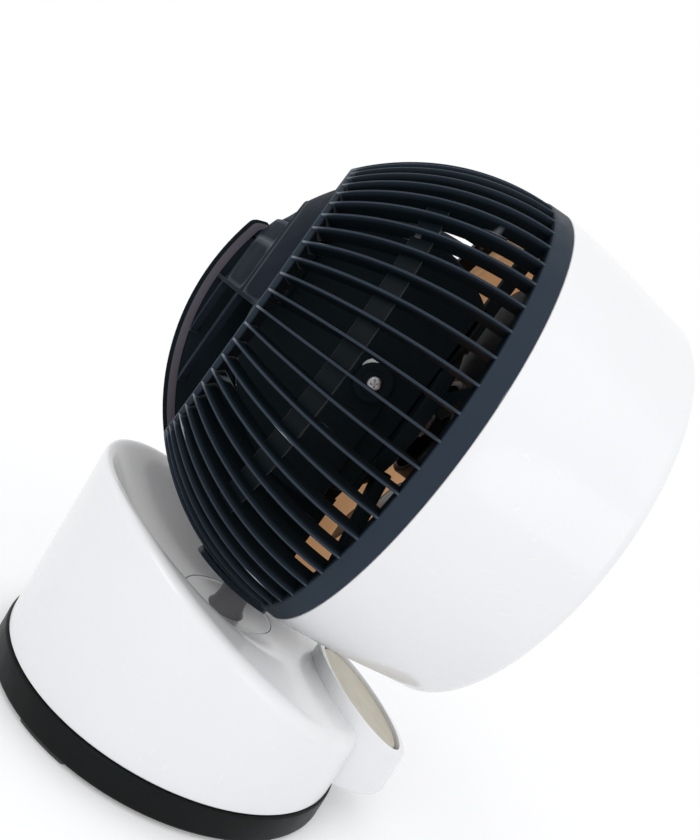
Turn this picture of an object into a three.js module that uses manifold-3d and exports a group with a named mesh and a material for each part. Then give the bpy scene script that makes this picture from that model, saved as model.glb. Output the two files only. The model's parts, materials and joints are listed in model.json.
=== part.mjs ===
// Air circulator fan with a swivelling neck, a tilting spherical head and a front control dial.
// Millimetres, +Z up, front of the fan towards -Y.
// Head pieces are drawn in the head's own frame: its origin is the centre of the rim plane,
// where the white ring meets the rear grille, and its axis lies along Y.
// Base pieces are drawn on the vertical swivel axis, with the floor at Z = 0.
// The finished fan is moved so that its origin is the middle of its footprint.
import * as THREE from 'three';
import { mergeVertices } from 'three/addons/utils/BufferGeometryUtils.js';
import Module from 'manifold-3d';

const wasm = await Module();
wasm.setup();

// Clearances
const SEAT_GAP = 0.3;
const RUN_GAP = 0.6;

// Base
const FOOT_R = 7;
const FOOT_HEIGHT = 3.4;
const FOOT_PROUD = 1.6;
const FOOT_COUNT = 4;
const FOOT_INSET = 16;
const PLATE_PROUD = 1.2;
const PLATE_RING_HEIGHT = 13;
const PLATE_THICKNESS = 3;
const PLATE_RING_WALL = 6;
const PLATE_EDGE = 1.4;
const SHELL_R = 91.4;
const SHELL_WALL = 2.6;
const TOP_AXIS_Z = 78.6;
const TOP_SLOPE = 0.365;
const TOP_EDGE_ROUND = 6;
const BOWL_FLOOR_Z = 60.6;
const BOWL_R = 105;
const TOP_BLEND = 9;

// Control pod and dial
const POD_R = 34.5;
const POD_SET_IN = 4.4;
const POD_FLOOR_Z = 19.1;
const POD_FACE_Z = 53.6;
const POD_SLOPE_DEG = 21.5;
const POD_RIM = 2.2;
const DIAL_GAP = 1.1;
const DIAL_HEIGHT = 9;
const DIAL_SUNK = 0.9;
const DIAL_SKIRT = 2;
const DIAL_POST_R = 5;
const DIAL_POST_LENGTH = 7;
const ENCODER_SIDE = 15;
const ENCODER_HEIGHT = 7;
const ENCODER_BORE_R = 5.6;

// Power inlet at the rear of the base
const INLET_WIDTH = 15;
const INLET_HEIGHT = 11;
const INLET_DEPTH = 13;
const INLET_PIN_R = 1;
const INLET_POCKET_R = 3.6;
const INLET_Z = 28;

// Swivel turntable and neck
const TABLE_R = 25;
const TABLE_THICKNESS = 4;
const SPIGOT_R = 13;
const SPIGOT_BORE_R = 8;
const SPIGOT_LENGTH = 26;
const SOCKET_WALL = 4;
const CLIP_R = 19;
const CLIP_THICKNESS = 2;
const NECK_WIDTH_TOP = 20;
const NECK_DEPTH_TOP = 15.4;
const NECK_WIDTH_FOOT = 42;
const NECK_DEPTH_FOOT = 34;
const NECK_FLARE_HEIGHT = 9;
const YOKE_DROP = 60.6;
const YOKE_BAR = 5.4;
const YOKE_ARM = 5;
const YOKE_HALF_DEPTH = 8;
const YOKE_EAR_R = 60.5;
const YOKE_EYE_R = 10;

// Tilt pivot
const HEAD_CLEARANCE = 14.8;
const PIVOT_LEAN = 3;
const PIVOT_BACK = 29;
const PIVOT_RISE = 2;
const NOSE_DOWN_DEG = 5;
const PIVOT_SCREW_R = 2;
const PIVOT_HEAD_R = 3.3;
const PIVOT_HEAD_HEIGHT = 2.2;
const PIVOT_DISC_R = 9.2;
const PIVOT_DISC_THICKNESS = 2;
const PIVOT_WASHER_R = 7;
const PIVOT_WASHER_TAB_R = 11.8;
const PIVOT_WASHER_THICKNESS = 0.8;
const PIVOT_SCREW_LENGTH = 17;

// Rear grille
const DOME_R = 119;
const RIB_DEPTH = 7;
const RIB_THICKNESS = 1.3;
const RIB_COUNT = 60;
const RIB_STEPS = 5;
const RIM_BAND = 10;
const RIM_WALL = 5;
const RIM_PROUD = 0.6;
const HOOP_LATITUDE_DEG = 26.9;
const HOOP_WIDTH = 8.5;
const HOOP_RECESS = 4.6;
const HOOP_WALL = 2;
const CAP_LATITUDE_DEG = 50.1;
const CAP_RING_WIDTH = 6.5;
const CAP_RING_RECESS = 1.4;
const CAP_WALL = 1.8;
const CAP_RING_OUTER_R = 52;
const CAP_RING_INNER_R = 31;
const CAP_BAR = 2;
const CAP_BAR_PROUD = 0.7;
const CAP_SEAT_IN = 5;
const SLOT_HALF = 12;
const SLOT_FLANGE = 2.2;
const SLOT_FRONT_Y = 4;
const SLOT_TOP_Z = 24;
const CHUTE_R = 62.5;
const CHUTE_STEPS = 8;
const POCKET_FLOOR_Z = 35;
const POCKET_DEPTH = 15;
const SHOE_HALF = 20;
const SHOE_PROUD = 2.8;
const SHOE_LENGTH = 44.6;
const SHOE_FRONT_Y = 0.6;

// White ring, air duct and front grille
const RING_PROUD = 0.8;
const RING_DEPTH = 80;
const RING_TAPER = 6.4;
const RING_NOSE = 8;
const RING_LIP = 13.4;
const RING_WALL = 2.8;
const DUCT_INSET = 0.5;
const DUCT_WALL = 2.2;
const DUCT_DEPTH = 62;
const DUCT_FLANGE = 2.4;
const SPOKE_COUNT = 5;
const SPOKE_WIDTH = 9;
const SPOKE_DEPTH = 8;
const GRILLE_RIBS = 24;
const GRILLE_RIB_THICKNESS = 1.6;
const GRILLE_DEPTH = 5;
const GRILLE_SWEEP_DEG = 34;
const GRILLE_RIM = 3.4;
const GRILLE_CAP_R = 27;
const GRILLE_RECESS = 4;
const GRILLE_MID_R = 64;

// Motor
const MOTOR_DRUM_R = 50;
const MOTOR_EDGE = 5;
const MOTOR_FRONT_Y = 6;
const MOTOR_PLATE_R = 44;
const CHEEK_HALF_X = 36;
const HOOD_R = 68;
const HOOD_BACK = 42;
const HOOD_GAP = 2.2;
const SHAFT_R = 4;
const SHAFT_LENGTH = 56;

// Impeller
const BLADE_COUNT = 5;
const BLADE_TIP_GAP = 3;
const HUB_R = 28;
const HUB_LENGTH = 34;
const HUB_REAR_Y = -14;
const HUB_WALL = 3;
const BLADE_THICKNESS = 2.2;
const BLADE_ROOT_PITCH_DEG = 46;
const BLADE_TIP_PITCH_DEG = 24;
const BLADE_ROOT_CHORD = 34;
const BLADE_TIP_CHORD = 76;
const BLADE_SWEEP_DEG = 26;
const BLADE_STEPS = 4;
const BLADE_CHORD_STEPS = 3;
const NUT_R = 8;
const NUT_LENGTH = 12;

// Facets
const ROUND = 40;
const CAP_ROUND = 24;
const SMALL_ROUND = 12;

// Sizes worked out from the ones above
const radians = THREE.MathUtils.degToRad;
const plateR = SHELL_R + PLATE_PROUD;
const podY = POD_SET_IN - SHELL_R;
const shellFloorZ = FOOT_PROUD + PLATE_RING_HEIGHT + SEAT_GAP;
const domeInnerR = DOME_R - RIB_DEPTH;
const rimOuterR = DOME_R + RIM_PROUD;
const hoopY = DOME_R * Math.sin(radians(HOOP_LATITUDE_DEG));
const capY = DOME_R * Math.sin(radians(CAP_LATITUDE_DEG));
const capBackY = capY * (domeInnerR - CAP_WALL) / DOME_R;
const capSeatR = chord(domeInnerR, capBackY) - CAP_SEAT_IN;
const pocketRearY = chord(domeInnerR, CAP_RING_OUTER_R);
const chuteHalf = SLOT_HALF + SLOT_FLANGE;
const chuteFar = DOME_R + 1;
const ringRearR = DOME_R + RING_PROUD;
const ringFrontR = ringRearR - RING_TAPER;
const ringLipR = ringFrontR - RING_LIP;
const ductR = ringLipR - DUCT_INSET;
const bladeTipR = ductR - BLADE_TIP_GAP;
const pivotZ = BOWL_FLOOR_Z + DOME_R + PIVOT_RISE + SHOE_PROUD + HEAD_CLEARANCE;
const tableTopZ = BOWL_FLOOR_Z + 1.5;
const tableFloorZ = tableTopZ - TABLE_THICKNESS;
const spigotFloorZ = tableFloorZ - SPIGOT_LENGTH;
const clipTopZ = spigotFloorZ + CLIP_THICKNESS + 2;
const socketFloorZ = clipTopZ + SEAT_GAP;
const yokeInnerX = CHEEK_HALF_X + SEAT_GAP;
const yokeOuterX = yokeInnerX + YOKE_ARM;

const white = new THREE.MeshStandardMaterial({ color: 0xe9e9ea, roughness: 0.28, metalness: 0 });
const navy = new THREE.MeshStandardMaterial({ color: 0x262d36, roughness: 0.45, metalness: 0 });
const black = new THREE.MeshStandardMaterial({ color: 0x14181a, roughness: 0.4, metalness: 0 });
const champagne = new THREE.MeshStandardMaterial({ color: 0xb4ac98, roughness: 0.35, metalness: 0.6 });
const steel = new THREE.MeshStandardMaterial({ color: 0xb9bcc0, roughness: 0.3, metalness: 1 });
const rubber = new THREE.MeshStandardMaterial({ color: 0x1a1a1a, roughness: 0.9, metalness: 0 });
const smoke = new THREE.MeshStandardMaterial({ color: 0x3a4048, roughness: 0.4, metalness: 0 });

// Turns a closed geometry into a solid for cutting and joining.
function solid(geometry) {
  const bare = new THREE.BufferGeometry();
  bare.setAttribute('position', geometry.getAttribute('position'));
  if (geometry.index) bare.setIndex(geometry.index);
  const merged = mergeVertices(bare, 1e-4);
  return new wasm.Manifold(new wasm.Mesh({
    numProp: 3,
    vertProperties: new Float32Array(merged.getAttribute('position').array),
    triVerts: new Uint32Array(merged.index.array),
  }));
}

function join(solids) {
  return solids.reduce((all, next) => all.add(next));
}

function cut(body, tools) {
  return tools.reduce((all, next) => all.subtract(next), body);
}

function meshOf(name, body, material) {
  const mesh = body.getMesh();
  const geometry = new THREE.BufferGeometry();
  geometry.setAttribute('position', new THREE.BufferAttribute(new Float32Array(mesh.vertProperties), 3));
  geometry.setIndex(new THREE.BufferAttribute(new Uint32Array(mesh.triVerts), 1));
  geometry.computeVertexNormals();
  const part = new THREE.Mesh(geometry, material);
  part.name = name;
  return part;
}

// A closed profile of [radius, height] points, counterclockwise, turned about Y.
function turned(profile, segments = ROUND) {
  const points = profile.map(([r, h]) => new THREE.Vector2(r, h));
  points.push(points[0].clone());
  return new THREE.LatheGeometry(points, segments);
}

// A profile that starts and ends on the axis, turned about Y.
function turnedPlug(profile, segments = ROUND) {
  return new THREE.LatheGeometry(profile.map(([r, h]) => new THREE.Vector2(r, h)), segments);
}

function upright(geometry) {
  return geometry.rotateX(Math.PI / 2);
}

function bar(x0, x1, y0, y1, z0, z1) {
  const box = new THREE.BoxGeometry(x1 - x0, y1 - y0, z1 - z0);
  return box.translate((x0 + x1) / 2, (y0 + y1) / 2, (z0 + z1) / 2);
}

function rod(radius, z0, z1, segments = SMALL_ROUND) {
  const cylinder = new THREE.CylinderGeometry(radius, radius, z1 - z0, segments);
  return upright(cylinder).translate(0, 0, (z0 + z1) / 2);
}

function outline(points) {
  return new THREE.Shape(points.map(([x, y]) => new THREE.Vector2(x, y)));
}

// Half chord of a circle of the given radius at a distance from its centre.
function chord(radius, distance) {
  return Math.sqrt(Math.max(radius * radius - distance * distance, 0));
}

// Points on a circle in a (radius, axis) plane, from one axis position to another.
function arcPoints(radius, y0, y1, steps) {
  const a0 = Math.asin(y0 / radius);
  const a1 = Math.asin(y1 / radius);
  const points = [];
  for (let i = 0; i <= steps; i += 1) {
    const a = a0 + (a1 - a0) * i / steps;
    points.push([radius * Math.cos(a), radius * Math.sin(a)]);
  }
  return points;
}

// A zone of a spherical shell between two axis positions, with ends square to the shell.
function shellZone(outerR, wall, y0, y1, steps, segments) {
  const outer = arcPoints(outerR, y0, y1, steps);
  const inner = outer.map(([r, y]) => [r * (1 - wall / outerR), y * (1 - wall / outerR)]);
  return turned([...outer, ...inner.reverse()], segments);
}

// A shell cap round the pole, out to a given radius.
function domeCap(outerR, wall, reach, segments) {
  const innerR = outerR - wall;
  return turnedPlug([
    ...arcPoints(innerR, innerR, chord(innerR, reach), 3),
    ...arcPoints(outerR, chord(outerR, reach), outerR, 3),
  ], segments);
}

function smoothLower(a, b, blend) {
  const h = Math.max(blend - Math.abs(a - b), 0) / blend;
  return Math.min(a, b) - h * h * blend / 4;
}

// Height of the base's top: an oblique plane, hollowed by the bowl that the head swings over.
function topHeight(r, angle) {
  const plane = TOP_AXIS_Z + TOP_SLOPE * r * Math.sin(angle);
  const bowl = BOWL_FLOOR_Z + BOWL_R - chord(BOWL_R, r);
  return smoothLower(plane, bowl, TOP_BLEND);
}

// Radii and drops of the grid rows across the base's top, ending in the rounded edge.
function topRows(outerR, edgeRound, steps) {
  const flat = outerR - edgeRound;
  const rows = [];
  for (let i = 1; i <= steps; i += 1) {
    rows.push([flat * i / steps, 0]);
  }
  for (let i = 1; i < steps; i += 2) {
    const a = Math.PI / 2 * i / (steps - 1);
    rows.push([flat + edgeRound * Math.sin(a), edgeRound * (1 - Math.cos(a))]);
  }
  rows.push([outerR, edgeRound]);
  return rows;
}

// A drum with a flat floor and the sculpted top, drawn as one closed grid.
function sculptedDrum(outerR, edgeRound, floorZ, sink, steps, segments) {
  const rows = topRows(outerR, edgeRound, steps);
  const rings = rows.map(([r, drop]) => (angle) => [r, topHeight(r, angle) - drop - sink]);
  rings.push(() => [outerR, floorZ]);
  const positions = [0, 0, topHeight(0, 0) - sink];
  for (const ring of rings) {
    for (let i = 0; i < segments; i += 1) {
      const angle = 2 * Math.PI * i / segments;
      const [r, z] = ring(angle);
      positions.push(r * Math.cos(angle), r * Math.sin(angle), z);
    }
  }
  positions.push(0, 0, floorZ);
  const floorCentre = positions.length / 3 - 1;
  const faces = [];
  for (let i = 0; i < segments; i += 1) {
    const next = (i + 1) % segments;
    faces.push(0, 1 + i, 1 + next);
    for (let k = 0; k + 1 < rings.length; k += 1) {
      const near = 1 + k * segments;
      const far = near + segments;
      faces.push(near + i, far + i, far + next);
      faces.push(near + i, far + next, near + next);
    }
    const last = 1 + (rings.length - 1) * segments;
    faces.push(last + next, last + i, floorCentre);
  }
  const geometry = new THREE.BufferGeometry();
  geometry.setAttribute('position', new THREE.Float32BufferAttribute(positions, 3));
  geometry.setIndex(faces);
  return geometry;
}

// Places pieces drawn about +Z on the sloping face of the control pod.
function onPodFace(geometry) {
  return geometry.rotateX(radians(POD_SLOPE_DEG)).translate(0, podY, POD_FACE_Z);
}

// Base plate: a shallow dark pan whose wall shows as the ring under the white shell.
function basePlate() {
  const top = FOOT_PROUD + PLATE_RING_HEIGHT;
  const inner = plateR - PLATE_RING_WALL;
  const pan = upright(turnedPlug([
    [0, FOOT_PROUD],
    [plateR - PLATE_EDGE, FOOT_PROUD],
    [plateR, FOOT_PROUD + PLATE_EDGE],
    [plateR, top - PLATE_EDGE / 2],
    [plateR - PLATE_EDGE / 2, top],
    [inner, top],
    [inner, FOOT_PROUD + PLATE_THICKNESS],
    [0, FOOT_PROUD + PLATE_THICKNESS],
  ]));
  const seats = footCentres().map(([x, y]) => {
    return solid(rod(FOOT_R + SEAT_GAP, 0, FOOT_HEIGHT + SEAT_GAP).translate(x, y, 0));
  });
  return cut(solid(pan), seats);
}

function footCentres() {
  const reach = plateR - FOOT_INSET;
  return Array.from({ length: FOOT_COUNT }, (_, i) => {
    const angle = 2 * Math.PI * (i + 0.5) / FOOT_COUNT;
    return [reach * Math.cos(angle), reach * Math.sin(angle)];
  });
}

function foot([x, y]) {
  const edge = FOOT_PROUD / 4;
  return solid(upright(turnedPlug([
    [0, 0],
    [FOOT_R - edge, 0],
    [FOOT_R, edge],
    [FOOT_R, FOOT_HEIGHT],
    [0, FOOT_HEIGHT],
  ], SMALL_ROUND)).translate(x, y, 0));
}

// Base shell: the white drum with its oblique dished top and the control pod in front.
function baseShell() {
  const drum = solid(sculptedDrum(SHELL_R, TOP_EDGE_ROUND, shellFloorZ, 0, 6, ROUND));
  const innerRound = TOP_EDGE_ROUND - SHELL_WALL / 2;
  const hollow = solid(sculptedDrum(
    SHELL_R - SHELL_WALL, innerRound, shellFloorZ - 1, SHELL_WALL, 3, ROUND * 0.6));
  const tall = TOP_AXIS_Z + POD_R;
  const wide = POD_R * 4;
  const wellFloor = -DIAL_HEIGHT - DIAL_SUNK - SEAT_GAP;
  const podRod = (radius, floor) => solid(rod(radius, floor, tall, ROUND).translate(0, podY, 0));
  const podTop = (height) => solid(onPodFace(bar(-wide, wide, -wide, wide, height, wide)));
  const pod = podRod(POD_R, POD_FLOOR_Z).subtract(podTop(0));
  const deck = podTop(wellFloor - SHELL_WALL);
  const podHollow = podRod(POD_R - POD_RIM, POD_FLOOR_Z + SHELL_WALL).subtract(deck);
  const drumHollow = hollow.subtract(podRod(POD_R, 0).intersect(deck));
  const shell = drum.add(pod).subtract(drumHollow.add(podHollow));
  const socketR = SPIGOT_R + RUN_GAP + SOCKET_WALL;
  const socket = solid(rod(socketR, socketFloorZ, tableFloorZ, ROUND));
  const padR = TABLE_R + RUN_GAP + SHELL_WALL;
  const tablePad = solid(rod(padR, tableFloorZ - SEAT_GAP - SHELL_WALL, tall, ROUND)).intersect(drum);
  return cut(join([shell, socket, tablePad]), [
    solid(rod(TABLE_R + RUN_GAP, tableFloorZ - SEAT_GAP, tall, ROUND)),
    solid(rod(SPIGOT_R + RUN_GAP, 0, tall, SMALL_ROUND * 2)),
    solid(onPodFace(rod(POD_R - POD_RIM, wellFloor, wide, ROUND))),
    solid(onPodFace(rod(DIAL_POST_R + RUN_GAP, wellFloor - POD_R, wellFloor + 1))),
    solid(inletBlock(SEAT_GAP)),
  ]);
}

function inletBlock(gap) {
  const half = INLET_WIDTH / 2 + gap;
  const rear = SHELL_R + (gap > 0 ? 2 : -0.4);
  const low = INLET_Z - INLET_HEIGHT / 2 - gap;
  return bar(-half, half, rear - INLET_DEPTH, rear, low, low + INLET_HEIGHT + 2 * gap);
}

// Power inlet socket, sunk in the rear wall, with a round pocket and one centre pin.
function powerInlet() {
  const rear = SHELL_R - 0.4;
  const block = solid(inletBlock(0));
  const turn = (geometry) => geometry.rotateX(Math.PI / 2).translate(0, rear, INLET_Z);
  const depth = INLET_DEPTH * 0.75;
  const pocket = solid(turn(rod(INLET_POCKET_R, -1, depth)));
  const pin = solid(turn(rod(INLET_PIN_R, 1, depth + 1, 10)));
  return block.subtract(pocket).add(pin);
}

// Control dial: a shallow cap with a knurled skirt, turning in the pod's round well.
function controlDial() {
  const r = POD_R - POD_RIM - DIAL_GAP;
  const top = -DIAL_SUNK;
  const floor = top - DIAL_HEIGHT;
  const cap = upright(turnedPlug([
    [0, floor - DIAL_POST_LENGTH],
    [DIAL_POST_R, floor - DIAL_POST_LENGTH],
    [DIAL_POST_R, top - DIAL_SKIRT],
    [r - DIAL_SKIRT, top - DIAL_SKIRT],
    [r - DIAL_SKIRT, floor],
    [r, floor],
    [r, top - 1],
    [r - 0.4, top - 0.3],
    [r - 1.4, top],
    [0, top - 0.6],
  ]));
  return solid(onPodFace(cap));
}

// Rotary encoder under the dial's post, seated below the pod's deck.
function dialEncoder() {
  const deckFloor = -DIAL_HEIGHT - DIAL_SUNK - SEAT_GAP - SHELL_WALL;
  const half = ENCODER_SIDE / 2;
  const top = deckFloor - SEAT_GAP;
  const body = solid(onPodFace(bar(-half, half, -half, half, top - ENCODER_HEIGHT, top)));
  const bore = solid(onPodFace(rod(ENCODER_BORE_R, top - ENCODER_HEIGHT / 2 - 1, top + 1)));
  return body.subtract(bore);
}

// Turntable, neck and yoke in one moulding: it swivels in the bowl and carries the head.
function neckYoke() {
  const table = solid(upright(turned([
    [SPIGOT_BORE_R, spigotFloorZ],
    [SPIGOT_R, spigotFloorZ],
    [SPIGOT_R, tableFloorZ],
    [TABLE_R, tableFloorZ],
    [TABLE_R, tableTopZ - 1],
    [TABLE_R - 1.5, tableTopZ],
    [SPIGOT_BORE_R, tableTopZ],
  ])));
  const plug = solid(rod(SPIGOT_BORE_R + 1, tableFloorZ, tableTopZ));
  const barTop = pivotZ - YOKE_DROP + YOKE_BAR;
  const post = solid(neckPost(barTop - YOKE_BAR / 2));
  const crossBar = solid(yokeBar(barTop));
  const arms = [-1, 1].map((side) => solid(yokeArm(side)));
  const bores = [-1, 1].map((side) => {
    const hole = new THREE.CylinderGeometry(
      PIVOT_SCREW_R + SEAT_GAP, PIVOT_SCREW_R + SEAT_GAP, YOKE_ARM * 3, SMALL_ROUND);
    return solid(hole.rotateZ(Math.PI / 2).translate(side * yokeOuterX, PIVOT_LEAN, pivotZ));
  });
  return cut(join([table, plug, post, crossBar, ...arms]), bores);
}

// The post: an oval column that flares into the turntable.
function neckPost(topZ) {
  const levels = [
    [NECK_WIDTH_FOOT, NECK_DEPTH_FOOT, tableTopZ - 1],
    [NECK_WIDTH_FOOT * 0.72, NECK_DEPTH_FOOT * 0.7, tableTopZ + NECK_FLARE_HEIGHT * 0.25],
    [NECK_WIDTH_TOP + 2, NECK_DEPTH_TOP + 1, tableTopZ + NECK_FLARE_HEIGHT * 0.7],
    [NECK_WIDTH_TOP, NECK_DEPTH_TOP, tableTopZ + NECK_FLARE_HEIGHT],
    [NECK_WIDTH_TOP, NECK_DEPTH_TOP, topZ],
  ];
  const column = new THREE.CylinderGeometry(0.5, 0.5, 1, SMALL_ROUND, levels.length - 1);
  const position = column.getAttribute('position');
  for (let i = 0; i < position.count; i += 1) {
    const [width, depth, z] = levels[Math.round((position.getY(i) + 0.5) * (levels.length - 1))];
    const x = position.getX(i) * width;
    const y = position.getZ(i) * -depth;
    position.setXYZ(i, x, y, z);
  }
  return column;
}

// The yoke's cross bar, with its lower corners cut off.
function yokeBar(topZ) {
  const low = topZ - YOKE_BAR;
  const corner = YOKE_BAR * 0.6;
  const face = outline([
    [-yokeOuterX + corner, low],
    [yokeOuterX - corner, low],
    [yokeOuterX, low + corner],
    [yokeOuterX, topZ],
    [-yokeOuterX, topZ],
    [-yokeOuterX, low + corner],
  ]);
  const plate = new THREE.ExtrudeGeometry(face, { depth: 2 * YOKE_HALF_DEPTH, bevelEnabled: false });
  return plate.rotateX(Math.PI / 2).translate(0, YOKE_HALF_DEPTH + PIVOT_LEAN, 0);
}

// One yoke arm: a plate with a round eye at the tilt pivot and an ear that fans out behind it.
function yokeArm(side) {
  const front = Math.atan2(-chord(YOKE_EAR_R, YOKE_HALF_DEPTH), -YOKE_HALF_DEPTH);
  const rear = Math.asin(YOKE_HALF_DEPTH / YOKE_EAR_R);
  const ear = new THREE.Shape();
  ear.absarc(0, 0, YOKE_EAR_R, front, rear, false);
  ear.absarc(0, 0, YOKE_EYE_R, Math.PI / 2, Math.PI, false);
  ear.closePath();
  const plate = new THREE.ExtrudeGeometry(ear, {
    depth: YOKE_ARM, bevelEnabled: false, curveSegments: SMALL_ROUND });
  plate.rotateX(Math.PI / 2).rotateZ(Math.PI / 2);
  return plate.translate(side > 0 ? yokeInnerX : -yokeOuterX, PIVOT_LEAN, pivotZ);
}

// Ring that holds the spigot up against the socket from below.
function swivelClip() {
  return solid(upright(turned([
    [SPIGOT_R + SEAT_GAP, clipTopZ - CLIP_THICKNESS],
    [CLIP_R, clipTopZ - CLIP_THICKNESS],
    [CLIP_R, clipTopZ],
    [SPIGOT_R + SEAT_GAP, clipTopZ],
  ], SMALL_ROUND * 2)));
}

// One meridian rib of the rear grille, from the rim band to the cap ring.
function grilleRib(index) {
  const startY = RIM_BAND / 2;
  const outer = arcPoints(DOME_R, startY, capY - 0.3, RIB_STEPS);
  const deepY = capY * domeInnerR / DOME_R - 1;
  const inner = arcPoints(domeInnerR, startY, deepY, 3).reverse();
  const rib = new THREE.ExtrudeGeometry(outline([...outer, ...inner]), {
    depth: RIB_THICKNESS, bevelEnabled: false });
  return rib.translate(0, 0, -RIB_THICKNESS / 2).rotateY(2 * Math.PI * index / RIB_COUNT);
}

// Ribs whose place the neck slot takes, counted from the rib straight down.
function inSlot(index) {
  const down = RIB_COUNT / 4;
  const off = Math.abs(((index - down) % RIB_COUNT + RIB_COUNT) % RIB_COUNT);
  const steps = Math.min(off, RIB_COUNT - off);
  const capReach = Math.sin(2 * Math.PI * steps / RIB_COUNT) * chord(DOME_R, capY);
  return steps < RIB_COUNT / 4 && capReach < chuteHalf;
}

// One deep wall of the chute, flush with the dome outside and clear of the swinging yoke inside.
function chuteWall(side) {
  const outerR = chord(DOME_R, chuteHalf);
  const low = -chord(outerR, SLOT_FRONT_Y);
  const arc = (radius, y, z, from, to) => Array.from({ length: CHUTE_STEPS + 1 }, (_, i) => {
    const a = from + (to - from) * i / CHUTE_STEPS;
    return [y + radius * Math.cos(a), z + radius * Math.sin(a)];
  });
  const outer = arc(outerR, 0, 0, Math.atan2(low, SLOT_FRONT_Y), Math.asin(SLOT_TOP_Z / outerR));
  const front = SLOT_FRONT_Y - PIVOT_BACK;
  const inner = arc(
    CHUTE_R, PIVOT_BACK, PIVOT_RISE,
    Math.atan2(-chord(CHUTE_R, front), front), Math.asin((SLOT_TOP_Z - PIVOT_RISE) / CHUTE_R));
  const wall = new THREE.ExtrudeGeometry(outline([...outer, ...inner.reverse()]), {
    depth: SLOT_FLANGE, bevelEnabled: false });
  wall.rotateX(Math.PI / 2).rotateZ(Math.PI / 2);
  return wall.translate(side > 0 ? SLOT_HALF : -chuteHalf, 0, 0);
}

// Chute that lines the neck slot: two deep walls, and a wall across their upper end.
function slotChute() {
  const half = SLOT_HALF + SLOT_FLANGE / 2;
  const y0 = PIVOT_BACK + chord(CHUTE_R, SLOT_TOP_Z - PIVOT_RISE);
  const y1 = chord(DOME_R, Math.hypot(chuteHalf, SLOT_TOP_Z));
  const end = solid(bar(-half, half, y0, y1, SLOT_TOP_Z - SLOT_FLANGE, SLOT_TOP_Z));
  return join([solid(chuteWall(-1)), solid(chuteWall(1)), end]);
}

// The room that the chute takes out of the pieces round it, with a gap on every side.
function chuteRoom(gap) {
  const half = chuteHalf + gap;
  return solid(bar(-half, half, SLOT_FRONT_Y - gap, chuteFar, -chuteFar, SLOT_TOP_Z + gap));
}

// Rear grille: deep meridian ribs from the rim band to the cap ring, over a recessed hoop.
function rearGrille() {
  const rimR1 = chord(DOME_R, RIM_BAND) + 0.3;
  const rim = solid(turned([
    [rimOuterR, SEAT_GAP],
    [rimR1, RIM_BAND],
    [chord(domeInnerR, RIM_BAND) - 0.4, RIM_BAND],
    [rimOuterR - RIM_WALL, SEAT_GAP],
  ], RIB_COUNT));
  const hoop = solid(shellZone(
    DOME_R - HOOP_RECESS, HOOP_WALL, hoopY - HOOP_WIDTH / 2, hoopY + HOOP_WIDTH / 2, 1,
    RIB_COUNT));
  const capFront = capY - CAP_RING_WIDTH;
  const capRing = solid(turned([
    [chord(DOME_R - CAP_RING_RECESS, capFront), capFront],
    [chord(DOME_R, capY) + SEAT_GAP, capY],
    [capSeatR, chord(domeInnerR, capSeatR)],
    [capSeatR, chord(domeInnerR - CAP_WALL, capSeatR)],
    [chord(domeInnerR - CAP_WALL, capBackY), capBackY],
  ], RIB_COUNT));
  const ribs = [];
  for (let i = 0; i < RIB_COUNT; i += 1) {
    if (!inSlot(i)) ribs.push(solid(grilleRib(i)));
  }
  return join([rim, hoop, capRing, ...ribs]).subtract(chuteRoom(SEAT_GAP));
}

// Rear cap: two rings and a cross bar below, a closed panel and a grip pocket above.
function rearCap() {
  const outerR = domeInnerR;
  const zone = (shellR, wall, r0, r1) => solid(shellZone(
    shellR, wall, chord(shellR, r0), chord(shellR, r1), 1, CAP_ROUND));
  const barRing = (r) => zone(
    outerR + CAP_BAR_PROUD, CAP_WALL + 2 * CAP_BAR_PROUD, r + CAP_BAR / 2, r - CAP_BAR / 2);
  const far = DOME_R + 5;
  const rimR = capSeatR - SEAT_GAP;
  const crossBar = solid(shellZone(
    outerR, CAP_WALL, chord(outerR, rimR), chord(outerR, SLOT_HALF), 4, CAP_ROUND))
    .intersect(solid(bar(-far, far, 0, far, -CAP_BAR / 2, CAP_BAR / 2)));
  const panelOuter = zone(outerR, CAP_WALL, rimR, CAP_RING_OUTER_R)
    .intersect(solid(bar(-far, far, 0, far, 0, far)));
  const panelInner = zone(outerR, CAP_WALL, CAP_RING_OUTER_R - CAP_BAR / 4, CAP_RING_INNER_R)
    .intersect(solid(bar(-far, far, 0, far, 0, POCKET_FLOOR_Z + CAP_WALL)));
  const bridge = solid(domeCap(
    outerR, CAP_WALL, CAP_RING_INNER_R + CAP_BAR, CAP_ROUND))
    .intersect(solid(bar(-far, far, 0, far, SLOT_TOP_Z - SLOT_FLANGE, POCKET_FLOOR_Z + CAP_WALL)));
  return join([
    barRing(CAP_RING_OUTER_R), barRing(CAP_RING_INNER_R), crossBar,
    panelOuter, panelInner, bridge, solid(pocketTub()),
  ]).subtract(solid(pocketHollow())).subtract(chuteRoom(SEAT_GAP));
}

// Outline of the grip pocket: the part of the outer cap ring's circle above a level line.
function pocketOutline(radius, levelZ) {
  const a0 = Math.asin(levelZ / radius);
  const shape = new THREE.Shape();
  shape.absarc(0, 0, radius, a0, Math.PI - a0, false);
  shape.closePath();
  return shape;
}

function pocketPrism(radius, levelZ, y0, y1) {
  const prism = new THREE.ExtrudeGeometry(pocketOutline(radius, levelZ), {
    depth: y1 - y0, bevelEnabled: false, curveSegments: SMALL_ROUND / 2 });
  return prism.rotateX(Math.PI / 2).translate(0, y1, 0);
}

function pocketTub() {
  return pocketPrism(CAP_RING_OUTER_R, POCKET_FLOOR_Z, pocketRearY - POCKET_DEPTH, pocketRearY);
}

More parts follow.
